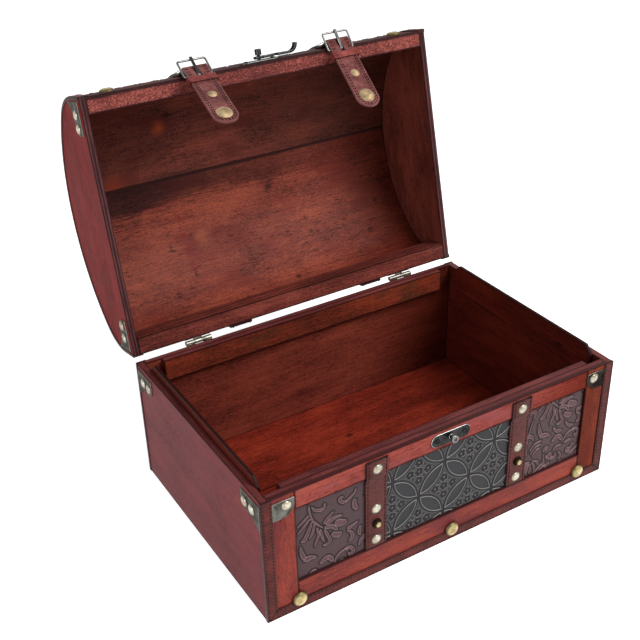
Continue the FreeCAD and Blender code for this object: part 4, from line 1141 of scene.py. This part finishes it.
def part_finish(mesh, finish, chosen):
    """Gives another finish to the faces that a test picks out."""
    add_finishes(mesh, [finish], [chosen(face) for face in mesh.polygons])


brackets = dressed("base_corner_brackets", "metal", "base", "dull_steel", tarnished_steel, BRACKET_ARRIS,
                   BRACKET_BAND)
# The front face of the right bracket is painted shade, in black metal.
part_finish(brackets, black_metal, lambda face: face.center.x > 0 and face.normal.y < -0.5)

# Latch keeper: a round-ended plate of dark bronze with a dimpled steel knob, screwed to the front
# rail. The plate's edges are rubbed, and their pale tone is also a painted highlight.

dark_bronze = worn_metal("dark_bronze", (64, 64, 64), (42, 42, 43), (24, 22, 22),
                         (112, 112, 108), 0.34, 0.25)
# Near-white edges: rubbed bronze and a painted highlight.
rubbed_bronze = worn_metal("rubbed_bronze", (60, 60, 60), (40, 40, 41), (24, 22, 22),
                           (196, 196, 190), 0.32, 0.4)
bright_steel = worn_metal("bright_steel", (196, 195, 192), (120, 118, 115), (60, 56, 52),
                          (90, 88, 86), 0.2)
KEEPER_PLATE, KEEPER_BAND, LATCH_ARRIS = 0.0018, 0.0008, 0.0003
SCREW_RADIUS, SCREW_HEIGHT = 0.0020, 0.0008
keeper = dressed("latch_keeper", "metal", "base", "aged_brass", rubbed_bronze, LATCH_ARRIS, KEEPER_BAND)
knob_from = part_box("latch_keeper")[1].y - KEEPER_PLATE
part_finish(keeper, bright_steel, lambda face: face.center.y < knob_from)
SCREW_SHARES = ((1.0, -1.0), (1.0, -0.7), (0.9, -0.35), (0.6, -0.08), (0.3, 0.0), (0.26, -0.35),
                (0.0, -0.4))
screw_shape = scaled(SCREW_SHARES, SCREW_RADIUS, SCREW_HEIGHT)
fastened("base_screws.heads", screw_shape, seats("base_screws"), "base", "aged_brass", dark_bronze,
         "base_screws")

# Hinges: two steel butt hinges behind the rim. One leaf of each is on the back wall and the other on
# the lid, with a pin through their knuckles.

HINGE_ARRIS, HINGE_BAND = 0.00015, 0.0004
for node, body in (("left_hinge_base_leaf", "base"), ("right_hinge_base_leaf", "base"),
                   ("hinge_pins", "base"), ("left_hinge_lid_leaf", "lid"),
                   ("right_hinge_lid_leaf", "lid")):
    dressed(node, "metal", body, "nickel", dull_steel, HINGE_ARRIS, HINGE_BAND)

# Lid boards: two arched ends, a front and a back rail along the rim, and two boards bent over the
# arch between them. The same stained softwood, brown inside, with an open seam between the boards and
# a dark face on the front rail. The front board and the insides of the ends are darker, partly stain
# and partly painted shade, and both boards darken towards the right with painted shade.


def swing(name, limit):
    """A joint's place, and the turn back from one of its limits to rest."""
    joint = next(joint for joint in frame["joints"] if joint["name"] == name)
    place = Vector(joint["pos_m"])
    turn = Matrix.Rotation(-math.radians(joint["range_deg"][limit]), 4, "X")
    return place, Matrix.Translation(place) @ turn @ Matrix.Translation(-place)


opened = swing("lid_hinge", 1)[1]
KNOT, RUN_STAIN, AMBER_STAIN = (30, 14, 12), (110, 36, 32), (172, 72, 40)
REAR_SPOTS = [((-0.055, 0.163), 0.008, (148, 78, 56)), ((0.116, 0.134), 0.008, RUN_STAIN)]
REAR_SPOTS += [((-0.072, height), 0.006, RUN_STAIN) for height in (0.142, 0.155, 0.168, 0.181)]
REAR_SPOTS += [(place, 0.0035, KNOT) for place in (
    (-0.087, 0.159), (-0.072, 0.138), (0.053, 0.144), (0.052, 0.156), (0.132, 0.154), (0.115, 0.134))]
# The rear board darkens towards the right: painted shade.
rear_board_wood = stained_wood("rear_board_wood", (86, 39, 32), (124, 57, 45),
                               (156, 78, 57), (40, 18, 15), 0.5, 1.05, painted_shade_span=(0.04, 0.14),
                               tint=(110, 42, 35), band=(0.2, 0.24, 0.32, 1.0), spots=REAR_SPOTS,
                               painted_shade_tint=(0.46, 0.34, 0.28, 1.0))
# A darker copy of the lid wood: partly the front board's own stain and partly painted shade on a board
# that faces down; it darkens towards the right with painted shade.
front_board_wood = stained_wood("front_board_wood", (64, 32, 28), (106, 54, 45),
                                (134, 66, 52), (28, 13, 12), 0.5, 1.05, painted_shade_span=(0.0, 0.12),
                                tint=(90, 39, 33), painted_shade_tint=(0.45, 0.42, 0.38, 1.0), spots=[
                                    ((-0.081, 0.268), 0.008, AMBER_STAIN), ((-0.074, 0.279), 0.0045, KNOT),
                                    ((-0.126, 0.221), 0.012, (138, 54, 38))])
# Darker wood for the insides of the lid ends: partly stain and partly painted shade.
lid_lining_wood = stained_wood("lid_lining_wood", (60, 27, 23), (96, 43, 35), (118, 56, 44),
                               (28, 12, 10), 0.5, tint=(72, 28, 23))
# Its pale flecks are partly painted glints.
front_rail_wood = stained_wood("front_rail_wood", (74, 33, 32), (104, 47, 44),
                               (124, 61, 55), (26, 13, 16), 0.45, glint_specks=(174, 98, 86))
back_rail_wood = stained_wood("back_rail_wood", (62, 27, 24), (100, 44, 38), (138, 68, 57),
                              (26, 11, 10), 0.45)
rail_face_wood = stained_wood("rail_face_wood", (48, 25, 27), (70, 36, 37), (90, 48, 47),
                              (26, 13, 14), 0.55, 0.8, shine=0.02)
lid_end_wood = stained_wood("lid_end_wood", (98, 27, 28), (124, 36, 35), (146, 45, 42),
                            RIM_STAIN, 0.46, 0.6, tint=(102, 31, 34), shine=0.02)
lid_rim_wood = stained_wood("lid_rim_wood", (68, 37, 39), (94, 54, 55), (116, 72, 70),
                            (34, 18, 19), 0.4, 0.6)
LEATHER_TURN_IN = 0.0018
FORWARD = Vector((0, -1, 0))
low, high = drawn_box("lid_front_rail", opened)
board("lid_front_rail", "lid", 0, "dark_red_wood", front_rail_wood, turn=opened,
      faces=[(FORWARD, rail_face_wood)], seams=[(1, low[1] + LEATHER_TURN_IN)])
low, high = drawn_box("lid_back_rail", opened)
board("lid_back_rail", "lid", 0, "dark_red_wood", back_rail_wood, turn=opened,
      seams=[(2, low[2] + (high[2] - low[2]) * share) for share in (0.34, 0.68)])


def run_along(line):
    """How far along a line each of its points lies."""
    return np.r_[0, np.cumsum(np.hypot(*np.diff(line, axis=0).T))]


OUTLINE_STEPS = 180


def outline_of(node):
    """A lid end's outline as points (y, z) at even steps, drawn with the lid shut."""
    points = turned_points(points_of(frame["nodes"][node].data), opened.inverted())
    flat = points[:, 1:]
    heart = (flat.min(0) + flat.max(0)) / 2
    angles = np.arctan2(flat[:, 1] - heart[1], flat[:, 0] - heart[0])
    ring = flat[np.argsort(angles)]
    ring = ring[np.r_[True, np.hypot(*np.diff(ring, axis=0).T) > 1e-5]]
    ring = np.vstack([ring, ring[:1]])
    run = run_along(ring)
    even = np.linspace(0, run[-1], OUTLINE_STEPS + 1)[:-1]
    corners = [run[np.argmin(np.hypot(*(ring - corner).T))]
               for corner in ((flat[:, 0].min(), flat[:, 1].min()), (flat[:, 0].max(), flat[:, 1].min()))]
    even[[int(np.argmin(np.abs(even - corner))) for corner in corners]] = corners
    return np.stack([np.interp(even, run, ring[:, side]) for side in (0, 1)], -1), heart


def outline_gap(points, ring):
    """How far each point lies from a closed outline."""
    gaps = np.full(len(points), FAR_OFF)
    for start, end in zip(ring, np.roll(ring, -1, axis=0)):
        run = end - start
        share = np.clip(((points - start) @ run) / max(run @ run, 1e-12), 0, 1)
        gaps = np.minimum(gaps, np.hypot(*(points - start - share[:, None] * run).T))
    return gaps


END_RING_SHARES = 1.0, 0.985, 0.95, 0.88, 0.7, 0.4
FACE_REACH, RIM_LINE_HALF, RIM_FROM = 0.0017, 0.0014, 0.001
for side, inward in (("left", 1), ("right", -1)):
    node = f"lid_{side}_end"
    low, high = drawn_box(node, opened)
    ring, heart = outline_of(node)
    shape = bmesh.new()
    outer_rings = []
    for x in (low[0], high[0]):
        rings = [[shape.verts.new((x, *(heart + (spot - heart) * share))) for spot in ring]
                 for share in END_RING_SHARES]
        skin(shape, rings)
        shape.faces.new(rings[-1])
        outer_rings.append(rings[0])
    skin(shape, outer_rings)
    bmesh.ops.recalc_face_normals(shape, faces=shape.faces)
    rim_line = (low[0] + high[0]) / 2
    for x in (low[0] + FACE_REACH, high[0] - FACE_REACH, rim_line - RIM_LINE_HALF, rim_line,
              rim_line + RIM_LINE_HALF):
        slice_at(shape, (x, 0, 0), ENDWAYS)
    ease_edges(shape, BOARD_ARRIS)
    mesh = finished(f"{node}.wood", shape)
    points = points_of(mesh)
    edge = np.maximum(outline_gap(points[:, 1:], ring),
                      np.minimum(points[:, 0] - low[0], high[0] - points[:, 0]))
    edge = np.where((points[:, 0] > low[0] + RIM_FROM) & (points[:, 0] < high[0] - RIM_FROM),
                    np.minimum(edge, np.abs(points[:, 0] - rim_line)), edge)
    mark_grain(mesh, edge, np.roll(points, -1, axis=1))
    numbers = [1 if face.normal.x * inward > FACING else 2 if abs(face.normal.x) < 0.5 else 0
               for face in mesh.polygons]
    mesh.transform(opened)
    fit(mesh, "lid", "plum_wood", None, node)
    add_finishes(mesh, (lid_end_wood, lid_lining_wood, lid_rim_wood), numbers)

OPEN_SEAM = 0.0009
LID_REACHES = *EDGE_REACHES, 0.016, 0.024, 0.034
ARCH_HEART_Z, ARCH_RADIUS = 0.06, 0.11
for node, finish in (("lid_front_board", front_board_wood), ("lid_rear_board", rear_board_wood)):
    shape = merged(node, opened)
    low, high = drawn_box(node, opened)
    seam_y = high[1] if node == "lid_front_board" else low[1]
    into = -1 if node == "lid_front_board" else 1
    for reach in LID_REACHES:
        slice_at(shape, (low[0] + reach, 0, 0), ENDWAYS)
        slice_at(shape, (high[0] - reach, 0, 0), ENDWAYS)
        slice_at(shape, (0, seam_y + into * reach, 0), -FORWARD)
    mesh = finished(f"{node}.wood", shape)
    points = points_of(mesh)
    edge = np.minimum(np.minimum(points[:, 0] - low[0], high[0] - points[:, 0]),
                      np.abs(points[:, 1] - seam_y) - OPEN_SEAM)
    run = np.arctan2(points[:, 1], points[:, 2] - ARCH_HEART_Z) * ARCH_RADIUS
    depth = np.hypot(points[:, 1], points[:, 2] - ARCH_HEART_Z)
    mark_grain(mesh, edge, np.stack([points[:, 0], run, depth], -1))
    mark(mesh, "seam", np.abs(points[:, 1] - seam_y))
    mesh.transform(opened)
    fit(mesh, "lid", "dark_red_wood", finish, node)

# Lid covering: three tooled leather sheets over the arch to match the front, with the same binding
# along the arched edges of both ends.


def turn_of(one, two, three):
    """Twice the area of a triangle, above zero where its corners run against the clock."""
    return (two[0] - one[0]) * (three[1] - one[1]) - (two[1] - one[1]) * (three[0] - one[0])


def arch_line(node):
    """The outer face of an arched piece as (y, z) points from front to back, drawn shut, with the
    outward direction at each."""
    points = turned_points(points_of(frame["nodes"][node].data), opened.inverted())[:, 1:]
    points = np.unique(np.round(points, 6), axis=0)
    ring = []
    for order in (points, points[::-1]):
        chain = []
        for point in order:
            while len(chain) > 1 and turn_of(chain[-2], chain[-1], point) < 1e-9:
                chain.pop()
            chain.append(point)
        ring += chain[:-1]
    ring = np.array(ring)
    open_side = np.argmax(np.hypot(*(np.roll(ring, -1, axis=0) - ring).T))
    line = curve_through(np.roll(ring, -open_side - 1, axis=0)[::-1], 5)
    along = np.gradient(line, axis=0)
    outward = np.stack([-along[:, 1], along[:, 0]], -1)
    outward /= np.linalg.norm(outward, axis=1)[:, None]
    return line, outward


ROW_POINTS = 160


def arch_row(node, x, margin):
    """A row for stitches over an arched piece, which stops short of both of its ends."""
    line, outward = arch_line(node)
    run = run_along(line)
    row = []
    for reach in np.linspace(margin, run[-1] - margin, ROW_POINTS):
        point = [np.interp(reach, run, line[:, side]) for side in (0, 1)]
        out = [np.interp(reach, run, outward[:, side]) for side in (0, 1)]
        row.append((opened @ Vector((x, *point)), opened.to_3x3() @ Vector((0, *out))))
    return row


LID_STEP, LID_LINE, LID_LEATHER = 0.00066, 1.6, 0.0022
for node, pattern, finish, slot in (
        ("lid_left_panel", leaf_scroll, scroll_leather, "scroll_leather"),
        ("lid_centre_panel", ring_lattice, ring_leather, "ring_leather"),
        ("lid_right_panel", full_scroll, scroll_leather, "scroll_leather")):
    low, high = drawn_box(node, opened)
    line, outward = arch_line(node)
    run = run_along(line)

    def lay_arch(x, s, out):
        y = np.interp(s, run, line[:, 0]) + np.interp(s, run, outward[:, 0]) * out
        z = np.interp(s, run, line[:, 1]) + np.interp(s, run, outward[:, 1]) * out
        return np.stack([x, y, z], -1)

    def bold(x, s):
        return pattern(x, s, LID_LINE)

    across = np.linspace(low[0], high[0], int((high[0] - low[0]) / LID_STEP))
    along = np.linspace(0, run[-1], int(run[-1] / LID_STEP))
    sheet = tooled_sheet(f"{node}.leather", across, along, lay_arch, bold, LID_LEATHER)
    sheet.transform(opened)
    fit(sheet, "lid", slot, finish, node)

dressed("lid_end_bindings", "leather", "lid", "binding_leather", binding_leather, BINDING_ARRIS,
        BINDING_BAND)
binding_edge = drawn_box("lid_end_bindings", opened)[1][0]
rows = [arch_row("lid_end_bindings", way * (binding_edge - inset), RIM_MARGIN)
        for way in (-1, 1) for inset in BINDING_ROWS]
sewn("lid_end_bindings.stitches", "lid", "binding_leather", rows, **BINDING_STITCH)

# Lid metalwork: corner brackets and their rivets, dome nails on the front edge, and the latch plate,
# all as on the base.

dressed("lid_corner_brackets", "metal", "lid", "dull_steel", tarnished_steel, BRACKET_ARRIS, BRACKET_BAND)
fastened("lid_rivets.heads", rivet_shape, seats("lid_rivets", opened), "lid", "nickel", nickel,
         "lid_rivets")
fastened("lid_dome_nails.heads", nail_shape, seats("lid_dome_nails", opened), "lid", "aged_brass",
         aged_brass, "lid_dome_nails")
fastened("lid_screws.heads", screw_shape, seats("lid_screws", opened), "lid", "aged_brass",
         dark_bronze, "lid_screws")
LATCH_BAND = 0.0006
dressed("latch_plate", "metal", "lid", "aged_brass", dark_bronze, LATCH_ARRIS, LATCH_BAND)

# Latch hook: a flat swing hook of the same dark bronze as the latch plate. It turns on the plate's
# post and hangs over the keeper's knob when the lid is shut.

HOOK_ARRIS = 0.0004
dressed("latch_hook", "metal", "hook", "aged_brass", dark_bronze, HOOK_ARRIS, LATCH_BAND)

# Lid straps: two leather straps over the arch, sewn along both edges. Their front ends carry the
# buckles and the loose tabs.

STRAP_ARRIS, STRAP_BAND, STRAP_ROW_MARGIN = 0.0005, 0.001, 0.004
for side in ("left", "right"):
    node = f"lid_{side}_strap"
    dressed(node, "leather", "lid", "strap_leather", strap_leather, STRAP_ARRIS, STRAP_BAND)
    low, high = drawn_box(node, opened)
    middle, half = (low[0] + high[0]) / 2, (high[0] - low[0]) / 2
    rows = [arch_row(node, middle + way * half * SEAM_SHARE, STRAP_ROW_MARGIN)
            for way in (-1, 1)]
    sewn(f"lid_{side}_strap.stitches", "lid", "strap_leather", rows)

# Loose tabs: a tapered leather tongue on each lid strap that folds over the rim. It has a double row
# of stitches, a flat rivet, a snap cap near its round tip, and a plain keeper loop.

tab_leather = plain_leather("tab_leather", (84, 44, 42), (108, 59, 57), (134, 82, 78),
                            0.42, (126, 82, 78))
loop_leather = plain_leather("loop_leather", (92, 37, 35), (122, 53, 49), (148, 76, 70),
                             0.4, (52, 22, 22))
pale_brass = worn_metal("pale_brass", (238, 230, 208), (218, 206, 178), (130, 112, 84),
                        (168, 150, 116), 0.62)
brown_brass = worn_metal("brown_brass", (176, 155, 122), (134, 114, 86), (66, 52, 38),
                         (184, 166, 132), 0.7)
ROW_INSETS, TAB_ROW_START, TIP_POINTS = (0.0019, 0.0036), 0.003, 19
TAB_STITCH = {"pitch": 0.0030, "length": 0.0023, "width": 0.0010}
LOOP_BAND, STUD_ARRIS, STUD_BAND = 0.0008, 0.0002, 0.0005
TAB_ROUND_REACH, TAB_THICKNESS, TAB_SLOPE = 0.06625, 0.002, 0.0846
LOOP_START, LOOP_END = 0.0146, 0.0225
CAP_FROM = 0.05
for side in ("left", "right"):
    body = f"{side}_tab"
    pivot, droop = swing(f"{side}_tab_fold", 0)
    drooped = droop @ opened
    for node, slot, finish, arris, band in (
            (f"{side}_strap_tab", "strap_leather", tab_leather, STRAP_ARRIS, STRAP_BAND),
            (f"{side}_strap_loop", "loop_leather", loop_leather, STRAP_ARRIS, LOOP_BAND),
            (f"{side}_tab_studs", "aged_brass", pale_brass, STUD_ARRIS, STUD_BAND)):
        studs = dressed(node, "piece", body, slot, finish, arris, band)
    part_finish(studs, brown_brass, lambda face: (face.center - pivot).length > CAP_FROM)
    low, high = drawn_box(f"lid_{side}_strap", opened)
    middle = (low[0] + high[0]) / 2
    half = high[0] - middle
    hinge_line = opened.inverted() @ pivot
    rows = []
    for way, inset in ((way, inset) for way in (-1, 1) for inset in ROW_INSETS):

        def on_tab(across, reach):
            spot = Vector((middle + across - TAB_SLOPE * min(reach, TAB_ROUND_REACH),
                           hinge_line.y + way * TAB_THICKNESS / 2, hinge_line.z - reach))
            return drooped @ spot, drooped.to_3x3() @ Vector((0, way, 0))

        reach_across = half - inset
        turned = [on_tab(-reach_across * math.cos(angle), TAB_ROUND_REACH + reach_across * math.sin(angle))
                  for angle in np.linspace(0, math.pi, TIP_POINTS)]
        rows.append([on_tab(-reach_across, LOOP_END), *turned, on_tab(reach_across, LOOP_END)])
        rows += [[on_tab(edge, TAB_ROW_START), on_tab(edge, LOOP_START)]
                 for edge in (-reach_across, reach_across)]
    sewn(f"{side}_strap_tab.stitches", body, "strap_leather", rows, **TAB_STITCH)

# Buckles: bent steel wire frames, bright nickel, on the fold of each tab. Each has a dark prong that
# turns on its near bar.

BUCKLE_BAND = 0.0005
for side in ("left", "right"):
    for node, metal in ((f"{side}_buckle_frame", bright_steel), (f"{side}_buckle_prong", dark_bronze)):
        dressed(node, "metal", f"{side}_buckle", "nickel", metal, HINGE_ARRIS, BUCKLE_BAND)

# Studio: a white floor with a soft shadow, one large soft lamp high at the front right and a weak one
# low at the left, and a camera at the height and angle of the photograph.

FLOOR_REACH = 6.0
floor_mesh = bpy.data.meshes.new("floor")
floor_corners = ((-1, -1), (1, -1), (1, 1), (-1, 1))
floor_mesh.from_pydata([(FLOOR_REACH * x, FLOOR_REACH * y, 0) for x, y in floor_corners], [],
                       [(0, 1, 2, 3)])
floor = placed("floor", floor_mesh)
paper = Finish("white_floor")


def seen_rays(workings):
    """1 for what the camera sees, straight or in metal, and 0 for the light that falls on the chest."""
    straight, gleam, through = (workings.node("ShaderNodeLightPath", {}, {}, f"Is {kind} Ray")
                                for kind in ("Camera", "Glossy", "Transmission"))
    return straight + gleam + through


fleck = paper.noise(paper.spot(), 40.0, 2.0)
paper.done(Base_Color=paper.ramp(fleck, (0.3, (0.78, 0.78, 0.78, 1)), (0.7, (0.8, 0.8, 0.8, 1))),
           Roughness=0.9)
glow = paper.node("ShaderNodeEmission", {}, {
    "Color": (1, 1, 1, 1), "Strength": seen_rays(paper) * 0.8})
both = paper.node("ShaderNodeAddShader", {}, {
    0: Tone(paper, paper.tree.nodes["Principled BSDF"].outputs[0]), 1: glow})
paper.feed(paper.tree.nodes["Material Output"], {"Surface": both})
floor_mesh.materials.append(paper.material)

scene = bpy.context.scene
scene.view_settings.view_transform = "Standard"
world = bpy.data.worlds.new("studio")
scene.world = world
world.use_nodes = True
sky = Workings(world.node_tree)
SKY_LIGHT = 0.22
sky.feed(world.node_tree.nodes["Background"], {
    "Color": (1, 1, 1, 1), "Strength": seen_rays(sky) * (1 - SKY_LIGHT) + SKY_LIGHT})


LAMP_AIM = Vector((0, 0, 0.1))


def lamp(name, place, size, power):
    light = bpy.data.lights.new(name, "AREA")
    light.shape = "DISK"
    light.size = size
    light.energy = power
    holder = placed(name, light)
    holder.location = place
    holder.rotation_euler = (LAMP_AIM - Vector(place)).to_track_quat("-Z", "Y").to_euler()


lamp("key", (0.85, -1.0, 1.6), size=1.3, power=42)
lamp("fill", (-1.35, -0.35, 0.5), size=0.8, power=8)

CAMERA_PLACE = Vector((-0.4101, -0.6111, 0.5822))
FOCAL_PIXELS, IMAGE_PIXELS, SENSOR = 1054.0, 640.0, 36.0
LOOK_TURN, LOOK_DOWN, LOOK_ROLL = (math.radians(angle) for angle in (30.57, 30.26, -1.68))
ahead = Vector((math.sin(LOOK_TURN) * math.cos(LOOK_DOWN), math.cos(LOOK_TURN) * math.cos(LOOK_DOWN),
                -math.sin(LOOK_DOWN)))
right = Vector((math.cos(LOOK_TURN), -math.sin(LOOK_TURN), 0))
right = right * math.cos(LOOK_ROLL) + right.cross(ahead) * math.sin(LOOK_ROLL)
upward = right.cross(ahead)
camera = bpy.data.cameras.new("camera")
camera.sensor_width = SENSOR
camera.lens = SENSOR * FOCAL_PIXELS / IMAGE_PIXELS
scene.camera = placed("camera", camera)
scene.camera.matrix_world = Matrix((
    (*right, 0), (*upward, 0), (*-ahead, 0), (*CAMERA_PLACE, 1))).transposed()
